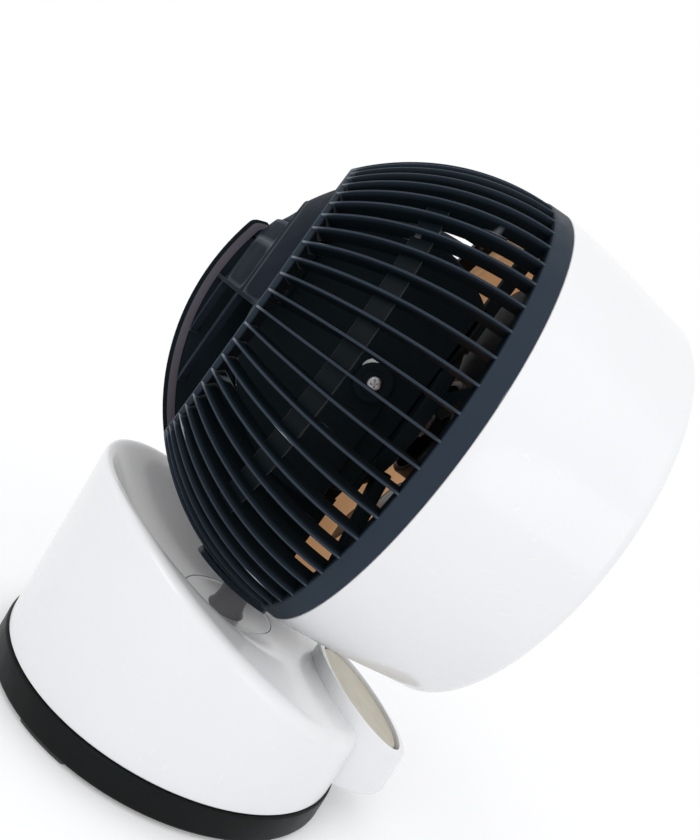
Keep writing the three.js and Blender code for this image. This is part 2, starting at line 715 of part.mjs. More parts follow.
function pocketHollow() {
  const floor = pocketRearY - POCKET_DEPTH + CAP_WALL;
  return pocketPrism(CAP_RING_OUTER_R - CAP_WALL, POCKET_FLOOR_Z + CAP_WALL, floor, DOME_R + 5);
}

// Proud collar round the mouth of the neck slot, under the dome.
function slotShoe() {
  const inner = rimOuterR + SEAT_GAP;
  const zone = solid(shellZone(
    inner + SHOE_PROUD, SHOE_PROUD, SHOE_FRONT_Y, SHOE_FRONT_Y + SHOE_LENGTH, 3, RIB_COUNT));
  const far = DOME_R * 2;
  const strip = zone.intersect(solid(bar(-SHOE_HALF, SHOE_HALF, 0, far, -far, 0)));
  const slot = bar(-SLOT_HALF, SLOT_HALF, SLOT_FRONT_Y, far, -far, 0);
  return strip.subtract(solid(slot));
}

// White ring: a tapering shell with a rounded nose that turns in to the grille's seat.
function ringHousing() {
  const noseY = -RING_DEPTH + RING_NOSE;
  const nose = [];
  for (const turn of [0, 30, 60, 90]) {
    const a = radians(turn);
    nose.push([ringFrontR - RING_NOSE + RING_NOSE * Math.cos(a), noseY - RING_NOSE * Math.sin(a)]);
  }
  const outer = [...nose.reverse(), [ringRearR - 1.2, -RING_DEPTH * 0.36], [ringRearR, 0]];
  return solid(turned([
    [ringLipR, -RING_DEPTH + 1.4],
    [ringLipR + 1.4, -RING_DEPTH],
    ...outer,
    [ringRearR - RING_WALL, 0],
    [ringRearR - 1.2 - RING_WALL, -RING_DEPTH * 0.36],
    [ringFrontR - RING_WALL, noseY],
    [ringFrontR - RING_NOSE, -RING_DEPTH + RING_WALL + 1],
    [ringLipR, -RING_DEPTH + RING_WALL + 1],
  ]));
}

// Air duct round the impeller, with the spokes and ring plate that hold the motor.
function airDuct() {
  const flangeR = ringRearR - RING_WALL - SEAT_GAP;
  const tube = solid(turned([
    [ductR, -DUCT_DEPTH],
    [ductR + DUCT_WALL, -DUCT_DEPTH],
    [ductR + DUCT_WALL, -DUCT_FLANGE],
    [flangeR, -DUCT_FLANGE],
    [flangeR, 0],
    [ductR + DUCT_WALL, 0],
    [ductR, -DUCT_WALL],
  ]));
  const plateFront = MOTOR_FRONT_Y - SEAT_GAP - SPOKE_DEPTH;
  const plateRear = MOTOR_FRONT_Y - SEAT_GAP;
  const plate = solid(turned([
    [SHAFT_R * 3, plateFront],
    [MOTOR_PLATE_R, plateFront],
    [MOTOR_PLATE_R, plateRear],
    [SHAFT_R * 3, plateRear],
  ]));
  const spokes = [];
  for (let i = 0; i < SPOKE_COUNT; i += 1) {
    const spoke = bar(
      MOTOR_PLATE_R - SPOKE_DEPTH / 2, ductR + DUCT_WALL / 2,
      -SPOKE_DEPTH, -DUCT_WALL / 2, -SPOKE_WIDTH / 2, SPOKE_WIDTH / 2);
    spokes.push(solid(spoke.rotateY(2 * Math.PI * (i + 0.75) / SPOKE_COUNT)));
  }
  return join([tube, plate, ...spokes]);
}

// Front grille: a rim, a middle ring and a centre cap joined by swept ribs.
function frontGrille() {
  const outerR = ringLipR - SEAT_GAP;
  const front = -RING_DEPTH + GRILLE_RECESS;
  const rear = front + GRILLE_DEPTH;
  const rim = solid(turned([
    [outerR - GRILLE_RIM, front],
    [outerR, front],
    [outerR, rear],
    [outerR - GRILLE_RIM, rear],
  ]));
  const middle = solid(turned([
    [GRILLE_MID_R, rear - 1.2],
    [GRILLE_MID_R + GRILLE_RIB_THICKNESS, rear - 1.2],
    [GRILLE_MID_R + GRILLE_RIB_THICKNESS, rear + 1.5],
    [GRILLE_MID_R, rear + 1.5],
  ]));
  const cap = solid(turnedPlug([
    [0, front - 2],
    [GRILLE_CAP_R * 0.6, front - 1.3],
    [GRILLE_CAP_R, front + 0.6],
    [GRILLE_CAP_R, rear],
    [0, rear],
  ], ROUND / 2));
  const ribs = [];
  for (let i = 0; i < GRILLE_RIBS; i += 1) {
    ribs.push(solid(sweptRib(outerR - GRILLE_RIM / 2, front, rear, 2 * Math.PI * i / GRILLE_RIBS)));
  }
  return join([rim, middle, cap, ...ribs]);
}

function sweptRib(reach, front, rear, turn) {
  const steps = 4;
  const left = [];
  const right = [];
  for (let i = 0; i <= steps; i += 1) {
    const share = i / steps;
    const r = GRILLE_CAP_R - 1 + (reach - GRILLE_CAP_R + 1) * share;
    const a = turn + radians(GRILLE_SWEEP_DEG) * share * share;
    const half = GRILLE_RIB_THICKNESS / 2 / r;
    left.push([r * Math.cos(a - half), r * Math.sin(a - half)]);
    right.push([r * Math.cos(a + half), r * Math.sin(a + half)]);
  }
  const rib = new THREE.ExtrudeGeometry(outline([...left, ...right.reverse()]), {
    depth: rear - front - 1, bevelEnabled: false });
  return rib.rotateX(Math.PI / 2).translate(0, rear - 0.5, 0);
}

// Motor housing: a drum across the head, whose flat cheeks the yoke's arms embrace at the tilt
// pivot, and a taller hood over it where the arms don't swing.
function motorHousing() {
  const across = (radius, backY) => solid(turnedPlug([
    [0, -CHEEK_HALF_X],
    [radius - MOTOR_EDGE, -CHEEK_HALF_X],
    [radius, MOTOR_EDGE - CHEEK_HALF_X],
    [radius, CHEEK_HALF_X - MOTOR_EDGE],
    [radius - MOTOR_EDGE, CHEEK_HALF_X],
    [0, CHEEK_HALF_X],
  ]).rotateZ(-Math.PI / 2).translate(0, backY, PIVOT_RISE));
  const far = DOME_R;
  const hoodRear = pocketRearY - POCKET_DEPTH - HOOD_GAP;
  const hood = across(HOOD_R, HOOD_BACK).intersect(solid(bar(
    -far, far, 0, hoodRear, SLOT_TOP_Z + HOOD_GAP, far)));
  const front = solid(bar(-far, far, MOTOR_FRONT_Y, far, -far, far));
  const hole = (side) => {
    const drill = new THREE.CylinderGeometry(
      PIVOT_SCREW_R + SEAT_GAP, PIVOT_SCREW_R + SEAT_GAP, PIVOT_SCREW_LENGTH * 2, SMALL_ROUND);
    return solid(drill.rotateZ(Math.PI / 2).translate(side * CHEEK_HALF_X, PIVOT_BACK, PIVOT_RISE));
  };
  const shaftBore = new THREE.CylinderGeometry(
    SHAFT_R + SEAT_GAP, SHAFT_R + SEAT_GAP, SHAFT_LENGTH, SMALL_ROUND);
  shaftBore.translate(0, MOTOR_FRONT_Y, 0);
  const body = across(MOTOR_DRUM_R, PIVOT_BACK).add(hood).intersect(front);
  return cut(body, [hole(-1), hole(1), solid(shaftBore)]);
}

// Pan-head screw through a yoke arm into the motor housing.
function pivotScrew(side) {
  const seat = yokeOuterX + PIVOT_WASHER_THICKNESS + PIVOT_DISC_THICKNESS + 3 * SEAT_GAP;
  const tip = seat - PIVOT_SCREW_LENGTH;
  return onPivot(side, turnedPlug([
    [0, tip],
    [PIVOT_SCREW_R, tip],
    [PIVOT_SCREW_R, seat],
    [PIVOT_HEAD_R, seat],
    [PIVOT_HEAD_R, seat + PIVOT_HEAD_HEIGHT * 0.5],
    [PIVOT_HEAD_R * 0.7, seat + PIVOT_HEAD_HEIGHT],
    [0, seat + PIVOT_HEAD_HEIGHT],
  ], SMALL_ROUND));
}

// Friction disc under the screw's head.
function pivotDisc(side) {
  const seat = yokeOuterX + PIVOT_WASHER_THICKNESS + 2 * SEAT_GAP;
  return onPivot(side, turned([
    [PIVOT_SCREW_R + SEAT_GAP, seat],
    [PIVOT_DISC_R, seat],
    [PIVOT_DISC_R, seat + PIVOT_DISC_THICKNESS - 0.5],
    [PIVOT_DISC_R - 0.5, seat + PIVOT_DISC_THICKNESS],
    [PIVOT_SCREW_R + SEAT_GAP, seat + PIVOT_DISC_THICKNESS],
  ], SMALL_ROUND * 2));
}

// Spring washer against the arm, with a wider tab over its rear and upper part.
function pivotWasher(side) {
  const seat = yokeOuterX + SEAT_GAP;
  const ring = (radius) => onPivot(side, turned([
    [PIVOT_SCREW_R + SEAT_GAP, seat],
    [radius, seat],
    [radius, seat + PIVOT_WASHER_THICKNESS],
    [PIVOT_SCREW_R + SEAT_GAP, seat + PIVOT_WASHER_THICKNESS],
  ], SMALL_ROUND * 2));
  const far = DOME_R;
  const quarter = solid(bar(-far, far, PIVOT_BACK, far, PIVOT_RISE - PIVOT_WASHER_R / 2, far));
  return ring(PIVOT_WASHER_R).add(ring(PIVOT_WASHER_TAB_R).intersect(quarter));
}

// Places a piece turned about +Y on the tilt axis, pointing outwards on one side.
function onPivot(side, geometry) {
  return solid(geometry.rotateZ(-side * Math.PI / 2).translate(0, PIVOT_BACK, PIVOT_RISE));
}

// Impeller: a round-nosed hub with swept, twisted blades.
function impeller() {
  const front = HUB_REAR_Y - HUB_LENGTH;
  const hub = solid(turnedPlug([
    [0, front],
    [HUB_R * 0.62, front + 1.5],
    [HUB_R * 0.9, front + 7],
    [HUB_R, front + 14],
    [HUB_R, HUB_REAR_Y],
    [HUB_R - HUB_WALL, HUB_REAR_Y],
    [HUB_R - HUB_WALL, front + 16],
    [SHAFT_R + HUB_WALL, front + 12],
    [SHAFT_R + HUB_WALL, HUB_REAR_Y],
    [0, HUB_REAR_Y],
  ], ROUND / 2));
  const bore = new THREE.CylinderGeometry(SHAFT_R + SEAT_GAP, SHAFT_R + SEAT_GAP, HUB_LENGTH * 3, SMALL_ROUND);
  bore.translate(0, HUB_REAR_Y, 0);
  const blades = [];
  for (let i = 0; i < BLADE_COUNT; i += 1) {
    blades.push(solid(blade().rotateY(2 * Math.PI * i / BLADE_COUNT)));
  }
  return cut(join([hub, ...blades]), [solid(bore)]);
}

// One blade as a closed grid: rows run out along the span, columns across the chord.
function blade() {
  const midY = HUB_REAR_Y - HUB_LENGTH / 2;
  const columns = BLADE_CHORD_STEPS + 1;
  const positions = [];
  for (const face of [1, -1]) {
    for (let i = 0; i <= BLADE_STEPS; i += 1) {
      const s = i / BLADE_STEPS;
      const r = HUB_R - HUB_WALL / 2 + (bladeTipR - HUB_R + HUB_WALL / 2) * s;
      const swell = Math.sqrt(Math.max(1 - Math.pow(2 * s - 1, 6), 0.35));
      const chordLength = (BLADE_ROOT_CHORD + (BLADE_TIP_CHORD - BLADE_ROOT_CHORD) * s) * swell;
      const pitch = radians(BLADE_ROOT_PITCH_DEG + (BLADE_TIP_PITCH_DEG - BLADE_ROOT_PITCH_DEG) * s);
      const lead = radians(BLADE_SWEEP_DEG) * s * s;
      for (let j = 0; j < columns; j += 1) {
        const c = j / BLADE_CHORD_STEPS - 0.5;
        const camber = 0.09 * chordLength * (1 - 4 * c * c);
        const thin = BLADE_THICKNESS * (1 - 0.5 * Math.abs(2 * c)) / 2;
        const across = c * chordLength;
        const along = across * Math.cos(pitch) + (camber + face * thin) * Math.sin(pitch);
        const y = midY - across * Math.sin(pitch) + (camber + face * thin) * Math.cos(pitch);
        const a = lead + along / r;
        positions.push(r * Math.cos(a), y, r * Math.sin(a));
      }
    }
  }
  const count = columns * (BLADE_STEPS + 1);
  const at = (face, i, j) => face * count + i * columns + j;
  const faces = [];
  const quad = (a, b, c, d) => faces.push(a, b, c, a, c, d);
  for (let i = 0; i < BLADE_STEPS; i += 1) {
    for (let j = 0; j < BLADE_CHORD_STEPS; j += 1) {
      quad(at(0, i, j), at(0, i, j + 1), at(0, i + 1, j + 1), at(0, i + 1, j));
      quad(at(1, i, j), at(1, i + 1, j), at(1, i + 1, j + 1), at(1, i, j + 1));
    }
    quad(at(0, i, 0), at(0, i + 1, 0), at(1, i + 1, 0), at(1, i, 0));
    const e = BLADE_CHORD_STEPS;
    quad(at(0, i, e), at(1, i, e), at(1, i + 1, e), at(0, i + 1, e));
  }
  for (let j = 0; j < BLADE_CHORD_STEPS; j += 1) {
    quad(at(0, 0, j), at(1, 0, j), at(1, 0, j + 1), at(0, 0, j + 1));
    const e = BLADE_STEPS;
    quad(at(0, e, j), at(0, e, j + 1), at(1, e, j + 1), at(1, e, j));
  }
  const geometry = new THREE.BufferGeometry();
  geometry.setAttribute('position', new THREE.Float32BufferAttribute(positions, 3));
  geometry.setIndex(faces);
  return geometry;
}

// Motor shaft, from inside the housing to the impeller's nose.
function motorShaft() {
  const shaft = new THREE.CylinderGeometry(SHAFT_R, SHAFT_R, SHAFT_LENGTH, SMALL_ROUND);
  const rear = MOTOR_FRONT_Y + SHAFT_LENGTH / 4;
  return solid(shaft.translate(0, rear - SHAFT_LENGTH / 2, 0));
}

// Spinner nut on the shaft's end, in front of the hub.
function spinnerNut() {
  const rear = HUB_REAR_Y - HUB_LENGTH - SEAT_GAP;
  const nut = solid(turnedPlug([
    [0, rear - NUT_LENGTH],
    [NUT_R * 0.6, rear - NUT_LENGTH + 1],
    [NUT_R, rear - NUT_LENGTH + 5],
    [NUT_R, rear],
    [0, rear],
  ], SMALL_ROUND));
  const bore = new THREE.CylinderGeometry(SHAFT_R + SEAT_GAP, SHAFT_R + SEAT_GAP, NUT_LENGTH, SMALL_ROUND);
  return nut.subtract(solid(bore.translate(0, rear - 2, 0)));
}

function buildHead() {
  const inner = new THREE.Group();
  inner.position.set(0, -PIVOT_BACK, -PIVOT_RISE);
  inner.add(meshOf('rear_grille', rearGrille(), navy));
  inner.add(meshOf('rear_cap', rearCap(), navy));
  inner.add(meshOf('slot_chute', slotChute(), navy));
  inner.add(meshOf('slot_shoe', slotShoe(), navy));
  inner.add(meshOf('ring_housing', ringHousing(), white));
  inner.add(meshOf('air_duct', airDuct(), navy));
  inner.add(meshOf('front_grille', frontGrille(), white));
  inner.add(meshOf('motor_housing', motorHousing(), navy));
  inner.add(meshOf('pivot_screw_right', pivotScrew(-1), steel));
  inner.add(meshOf('pivot_screw_left', pivotScrew(1), steel));
  inner.add(meshOf('pivot_disc_right', pivotDisc(-1), black));
  inner.add(meshOf('pivot_disc_left', pivotDisc(1), black));
  inner.add(meshOf('pivot_washer_right', pivotWasher(-1), steel));
  inner.add(meshOf('pivot_washer_left', pivotWasher(1), steel));
  inner.add(meshOf('impeller', impeller(), smoke));
  inner.add(meshOf('motor_shaft', motorShaft(), steel));
  inner.add(meshOf('spinner_nut', spinnerNut(), smoke));
  const head = new THREE.Group();
  head.position.set(0, PIVOT_LEAN, pivotZ);
  head.rotation.x = radians(NOSE_DOWN_DEG);
  head.add(inner);
  return head;
}

const group = new THREE.Group();
group.add(meshOf('base_plate', basePlate(), black));
footCentres().forEach((centre, i) => group.add(meshOf(`foot_${i + 1}`, foot(centre), rubber)));
group.add(meshOf('base_shell', baseShell(), white));
group.add(meshOf('power_inlet', powerInlet(), black));
group.add(meshOf('control_dial', controlDial(), champagne));
group.add(meshOf('dial_encoder', dialEncoder(), black));
group.add(meshOf('neck_yoke', neckYoke(), white));
group.add(meshOf('swivel_clip', swivelClip(), steel));
group.add(buildHead());

// The origin moves to the middle of the whole fan's footprint, on the floor.
const extent = new THREE.Box3().setFromObject(group, true);
group.position.set(-(extent.min.x + extent.max.x) / 2, -(extent.min.y + extent.max.y) / 2, -extent.min.z);

export default group;
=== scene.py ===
import json
from math import acos, asin, atan2, copysign, cos, hypot, pi, radians, sin, sqrt, tan

import bmesh
import bpy
from mathutils import Matrix, Vector


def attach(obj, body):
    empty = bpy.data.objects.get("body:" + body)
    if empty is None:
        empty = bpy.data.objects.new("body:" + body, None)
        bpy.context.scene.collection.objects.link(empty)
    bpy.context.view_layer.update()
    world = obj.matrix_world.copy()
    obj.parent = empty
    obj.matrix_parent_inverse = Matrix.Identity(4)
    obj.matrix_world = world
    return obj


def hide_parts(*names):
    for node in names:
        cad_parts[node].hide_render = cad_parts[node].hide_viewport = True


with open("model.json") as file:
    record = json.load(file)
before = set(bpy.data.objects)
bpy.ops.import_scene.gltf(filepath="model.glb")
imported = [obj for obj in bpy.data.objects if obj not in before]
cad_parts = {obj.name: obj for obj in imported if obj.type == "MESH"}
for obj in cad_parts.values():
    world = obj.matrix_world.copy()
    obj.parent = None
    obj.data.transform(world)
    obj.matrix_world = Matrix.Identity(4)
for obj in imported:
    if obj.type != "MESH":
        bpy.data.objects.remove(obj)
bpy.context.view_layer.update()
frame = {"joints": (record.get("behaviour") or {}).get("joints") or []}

# Sizes in millimetres, in the head's own frame (origin in the rim plane, axis along Y, front towards -Y)
# or, for the base, on the swivel axis with the floor at Z = 0.
MM = 0.001
SEAT_GAP = 0.3
DOME_R = 119.0
RIB_DEPTH = 7.0
RIB_COUNT = 60
INNER_R = DOME_R - RIB_DEPTH
CAP_WALL = 1.8
SLOT_HALF = 12.0
SLOT_FLANGE = 2.2
SLOT_TOP_Z = 24.0
LIP_SPAN = (2.1, 5.8)
RUN_UP_TAPER = (0.4, 1.5, 3.3, 5.2)
SLOT_FRONT_Y = 4.0
CHUTE_R = 62.5
SHOE_PROUD = 2.8
SHOE_LENGTH = 44.6
TABLE_R = 25.0
YOKE_INNER = 36.3
YOKE_OUTER = 41.3
YOKE_DROP = 60.6
YOKE_BAR = 5.4
RING_OUTER = 52.0
RING_INNER = 31.0
POCKET_Z = 35.0
POCKET_DEPTH = 15.0
PIVOT_BACK = 29.0
PIVOT_RISE = 2.0
SHELL_R = 91.4
POD_R = 34.5
POD_Y = -87.0
POD_FACE_Z = 53.6
POD_SLOPE = radians(21.5)
POD_FLOOR_Z = 19.1
POD_RIM = 2.2

JOINTS = {joint["name"]: Vector(joint["pos_m"]) for joint in frame["joints"]}
PIVOT = JOINTS["tilt"]
AXIS_Y = JOINTS["swivel"].y
PIVOT_LEAN = (PIVOT.y - AXIS_Y) / MM
NOSE_DOWN = radians(5)
HEAD = (Matrix.Translation(PIVOT) @ Matrix.Rotation(NOSE_DOWN, 4, "X")
        @ Matrix.Translation(Vector((0, -PIVOT_BACK, -PIVOT_RISE)) * MM))
BASE = Matrix.Translation((0, AXIS_Y, 0))


# -------- camera and light

def add_object(name, data):
    obj = bpy.data.objects.new(name, data)
    bpy.context.scene.collection.objects.link(obj)
    return obj


def set_camera():
    data = bpy.data.cameras.new("camera")
    data.sensor_width = 36
    data.lens = 35.44
    data.clip_start = 0.01
    cam = add_object("camera", data)
    # Fitted to the photograph with its 60 ribs, rim, cap circle and base edge.
    right = Vector((-0.10818, -0.84858, 0.51791))
    up = Vector((0.15851, 0.49957, 0.85166))
    back = right.cross(up)
    place = Vector((-0.4059, 0.0676 + AXIS_Y, 0.2094))
    m = Matrix((right, up, back)).transposed().to_4x4()
    m.translation = place
    cam.matrix_world = m
    bpy.context.scene.camera = cam


def area_light(name, place, target, size, power):
    data = bpy.data.lights.new(name, "AREA")
    data.shape = "DISK"
    data.size = size
    data.energy = power
    lamp = add_object(name, data)
    lamp.location = place
    direction = Vector(target) - Vector(place)
    lamp.rotation_euler = direction.to_track_quat("-Z", "Y").to_euler()
    lamp.visible_camera = False


def add_node(tree, kind, inputs=None, operation=None):
    """A new shader node. Each input takes a value, or the socket that feeds it."""
    node = tree.nodes.new("ShaderNode" + kind)
    if operation:
        node.operation = operation
    for key, value in (inputs or {}).items():
        if isinstance(value, bpy.types.NodeSocket):
            tree.links.new(value, node.inputs[key])
        else:
            node.inputs[key].default_value = value
    return node


def seen_directly(tree):
    """1 for camera, glossy and transmission rays, 0 for the rays that light surfaces."""
    path = add_node(tree, "LightPath").outputs
    seen = add_node(tree, "Math", {0: path["Is Camera Ray"], 1: path["Is Glossy Ray"]}, "MAXIMUM")
    both = {0: seen.outputs[0], 1: path["Is Transmission Ray"]}
    return add_node(tree, "Math", both, "MAXIMUM").outputs[0]


def set_world(strength):
    """Soft light from all round, where the camera and reflections see plain white."""
    world = bpy.data.worlds.new("studio")
    bpy.context.scene.world = world
    world.use_nodes = True
    tree = world.node_tree
    tree.nodes.clear()
    soft = add_node(tree, "Background", {"Color": (0.97, 0.98, 1.0, 1), "Strength": strength})
    white = add_node(tree, "Background", {"Color": (1, 1, 1, 1), "Strength": 1})
    mix = add_node(tree, "MixShader", {
        "Fac": seen_directly(tree), 1: soft.outputs[0], 2: white.outputs[0]})
    add_node(tree, "OutputWorld", {"Surface": mix.outputs[0]})


def set_floor():
    """A pale floor that is seen as plain white away from the part."""
    radius, under, fade_from, fade_to = 4.0, 0.0002, 0.16, 0.5
    bm = bmesh.new()
    bmesh.ops.create_circle(bm, cap_ends=True, segments=96, radius=radius)
    mesh = bpy.data.meshes.new("floor")
    bm.to_mesh(mesh)
    bm.free()
    floor = add_object("floor", mesh)
    floor.location = (0, 0, -under)
    mat = bpy.data.materials.new("floor")
    mat.use_nodes = True
    tree = mat.node_tree
    tree.nodes.clear()
    matte = add_node(tree, "BsdfDiffuse", {"Color": (0.88, 0.88, 0.885, 1)})
    lift = add_node(tree, "Emission", {"Strength": 0.2})
    near = add_node(tree, "AddShader", {0: matte.outputs[0], 1: lift.outputs[0]})
    far = add_node(tree, "Emission", {"Strength": 1.0})
    position = add_node(tree, "NewGeometry").outputs["Position"]
    reach = add_node(tree, "VectorMath", {0: position}, "LENGTH")
    fade = add_node(tree, "MapRange", {
        "Value": reach.outputs["Value"], "From Min": fade_from, "From Max": fade_to})
    fade.interpolation_type = "SMOOTHSTEP"
    seen = add_node(tree, "MixShader", {
        "Fac": fade.outputs["Result"], 1: near.outputs[0], 2: far.outputs[0]})
    mix = add_node(tree, "MixShader", {
        "Fac": seen_directly(tree), 1: matte.outputs[0], 2: seen.outputs[0]})
    add_node(tree, "OutputMaterial", {"Surface": mix.outputs[0]})
    mesh.materials.append(mat)


# -------- materials

# Sizes in millimetres: of the slow drift of colour, of the patches in the gloss, of the scratches
# and waves, of a corner that gets dust and painted shade, and of the depth over which the painted shade
# sets in.
DRIFT_SIZE = 60
GLOSS_SIZE = 9
SCRATCH_SIZE = 3.0
WAVE_SIZE = 45
CORNER_REACH = 6
SHADE_DEPTH_FROM = 2.6
SCRATCH_STRETCH = (14, 0.35, 0.35)
SCRATCH_TURN = (0.3, 0.5, 0.9)
COAT_ROUGH = 0.04
LIGHTEST = 0.97
DUST_AND_SHADE = (0.35, 0.34, 0.33)


def surface(name, colour, rough, specular=0.5, metal=0.0, coat=0.0, mottle=0.04,
            grain=0.0, grain_size=0.5, wave=0.0, scratches=0.0, dust_and_shade=0.0, edge=0.0,
            highlight_colour=None, deep=None, painted_glow=0.0):
    """A moulded or turned surface: colour that drifts a little, fine grain, long soft waves, hairline
    scratches in its gloss, edges lightened as painted highlight and a little wear, corners darkened
    by dust and painted shade, painted shade below the head's outer sphere, a painted glow. Sizes in
    millimetres."""
    mat = bpy.data.materials.new(name)
    mat.use_nodes = True
    tree = mat.node_tree
    shader = tree.nodes["Principled BSDF"]
    for key, value in (("Metallic", metal), ("Specular IOR Level", specular),
                       ("Coat Weight", coat), ("Coat Roughness", COAT_ROUGH)):
        shader.inputs[key].default_value = value
    coords = add_node(tree, "TexCoord").outputs["Object"]

    def noise(size, detail, stretch=None):
        source = coords
        if stretch:
            source = add_node(tree, "Mapping", {
                "Vector": coords, "Rotation": SCRATCH_TURN, "Scale": stretch}).outputs[0]
        return add_node(tree, "TexNoise", {
            "Vector": source, "Scale": 1000.0 / size, "Detail": detail}).outputs["Fac"]

    def ramp(value, low, high, out_low, out_high):
        return add_node(tree, "MapRange", {
            "Value": value, "From Min": low, "From Max": high,
            "To Min": out_low, "To Max": out_high}).outputs["Result"]

    def blend(factor, first, second):
        node = tree.nodes.new("ShaderNodeMix")
        node.data_type = "RGBA"
        tree.links.new(factor, node.inputs["Factor"])
        for socket, value in ((node.inputs["A"], first), (node.inputs["B"], second)):
            if isinstance(value, tuple):
                socket.default_value = (*value, 1)
            else:
                tree.links.new(value, socket)
        return node.outputs["Result"]

    low = tuple(c * (1 - mottle) for c in colour)
    high = tuple(min(c * (1 + mottle), LIGHTEST) for c in colour)
    tone = blend(ramp(noise(DRIFT_SIZE, 3), 0.3, 0.7, 0, 1), low, high)
    # Painted shade: the colour darkens to the deep colour below the head's outer sphere, as if shade fell
    # there.
    if deep:
        reach = add_node(tree, "VectorMath", {0: coords, 1: HEAD.translation}, "DISTANCE")
        level = ramp(reach.outputs["Value"], (DOME_R - SHADE_DEPTH_FROM) * MM, DOME_R * MM, 0, 1)
        tone = blend(level, deep, tone)
    # Painted highlight, with a little rubbed wear: sharp edges, found by pointiness, are lightened.
    if edge:
        geometry = add_node(tree, "NewGeometry")
        edge_highlight_and_wear = ramp(geometry.outputs["Pointiness"], 0.53, 0.62, 0, edge)
        light = highlight_colour or tuple(min(c * 1.6 + 0.05, LIGHTEST) for c in colour)
        tone = blend(edge_highlight_and_wear, tone, light)
    # Dust and painted shade: the colour turns towards a grey in corners that ambient occlusion finds,
    # darkening white and lightening black.
    if dust_and_shade:
        hollow = add_node(tree, "AmbientOcclusion", {"Distance": CORNER_REACH * MM})
        hollow.samples = 4
        tone = blend(ramp(hollow.outputs["AO"], 0.9, 0.4, 0, dust_and_shade), tone, DUST_AND_SHADE)
    tree.links.new(tone, shader.inputs["Base Color"])
    # Painted light: the surface glows with its own colour, standing in for light that passes through it.
    if painted_glow:
        tree.links.new(tone, shader.inputs["Emission Color"])
        shader.inputs["Emission Strength"].default_value = painted_glow

    gloss = ramp(noise(GLOSS_SIZE, 4), 0.3, 0.7, rough * 0.88, rough * 1.14)
    if scratches:
        lines = ramp(noise(SCRATCH_SIZE, 1, SCRATCH_STRETCH), 0.66, 0.74, 0, scratches)
        gloss = add_node(tree, "Math", {0: gloss, 1: lines}, "ADD").outputs[0]
    tree.links.new(gloss, shader.inputs["Roughness"])

    normal = None
    for size, depth, detail in ((grain_size, grain, 2), (WAVE_SIZE, wave, 1)):
        if depth:
            inputs = {"Strength": 1.0, "Distance": depth * MM, "Height": noise(size, detail)}
            if normal:
                inputs["Normal"] = normal
            normal = add_node(tree, "Bump", inputs).outputs["Normal"]
    if normal:
        tree.links.new(normal, shader.inputs["Normal"])
    return mat


# White plastic; its corners are darkened a little as dust and painted shade.
WHITE = surface("white_gloss", (0.865, 0.867, 0.875), 0.2, specular=0.45, coat=0.25, mottle=0.01,
                grain=0.0012, grain_size=1.4, wave=0.012, scratches=0.1, dust_and_shade=0.08)
# Painted shade: the neck post is a mid grey that stands in for the shadow between the head and the bowl.
NECK_SHADE_GREY = surface("neck_shade_grey", (0.2, 0.195, 0.21), 0.45, specular=0.2, mottle=0.04,
               grain=0.002, grain_size=0.8, wave=0.006, scratches=0.06)
# Navy plastic, with a painted highlight on its edges and painted shade below the outer sphere.
NAVY = surface("navy_grille", (0.024, 0.0355, 0.051), 0.5, specular=0.09, mottle=0.1,
               grain=0.004, grain_size=0.45, wave=0.004, scratches=0.08, edge=0.9,
               highlight_colour=(0.34, 0.38, 0.42), deep=(0.003, 0.0062, 0.0085))
# Painted shade: a darker copy of the grille's navy, for the cap that faces away from the light, with a
# painted highlight on its edges.
SHADED_CAP_NAVY = surface("cap_navy_shaded", (0.011, 0.0155, 0.0235), 0.6, specular=0.03, mottle=0.1,
              grain=0.004, grain_size=0.45, wave=0.004, scratches=0.08, edge=0.8,
              highlight_colour=(0.15, 0.17, 0.2))
# Painted light: a lighter grey for the band on each slot wall, standing in for the light on that strip.
PAINTED_LIGHT_LIP = surface("slot_lip_painted_light", (0.08, 0.074, 0.088), 0.45, specular=0.1, mottle=0.08,
              grain=0.004, grain_size=0.45, wave=0.004, scratches=0.05)
# Dark plastic of the inner parts, made darker still as painted shade for the head's interior.
SHADED_INNER = surface("inner_black_shaded", (0.0045, 0.0085, 0.0112), 0.55, specular=0.05, mottle=0.15,
                grain=0.008, grain_size=0.6)
# Its edges are lightened a little, a painted highlight with a little rubbed wear.
BLACK = surface("base_black", (0.0048, 0.0064, 0.0064), 0.42, specular=0.12, mottle=0.1,
                grain=0.004, grain_size=0.5, wave=0.004, scratches=0.1, edge=0.2)
DIAL = surface("dial_champagne", (0.43, 0.39, 0.30), 0.32, specular=0.5, metal=0.75, mottle=0.03,
               grain=0.0015, grain_size=0.3, scratches=0.06)
STEEL = surface("steel", (0.42, 0.43, 0.45), 0.38, metal=1.0, mottle=0.05,
                grain=0.0002, grain_size=2.0, scratches=0.03)
RUBBER = surface("rubber", (0.012, 0.012, 0.012), 0.75, specular=0.25, mottle=0.2,
                 grain=0.02, grain_size=0.4, dust_and_shade=0.2)
BLADE = surface("blade_smoke", (0.012, 0.014, 0.018), 0.36, specular=0.3, mottle=0.1,
                grain=0.003, grain_size=0.5)
# Painted light: the duct glows, standing in for light that passes through its translucent wall.
DUCT = surface("duct_inner", (0.60, 0.34, 0.17), 0.4, specular=0.2, mottle=0.08,
               grain=0.003, grain_size=0.8, painted_glow=0.34)


# -------- mesh helpers

def piece(name, build, place):
    """An object from a builder's points in millimetres, set in its frame."""
    mesh = bpy.data.meshes.new(name)
    mesh.from_pydata([place @ (Vector(v) * MM) for v in build.verts], [], build.faces)
    bm = bmesh.new()
    bm.from_mesh(mesh)
    bmesh.ops.remove_doubles(bm, verts=bm.verts, dist=1e-7)
    bmesh.ops.recalc_face_normals(bm, faces=bm.faces)
    bm.to_mesh(mesh)
    bm.free()
    return add_object(name, mesh)


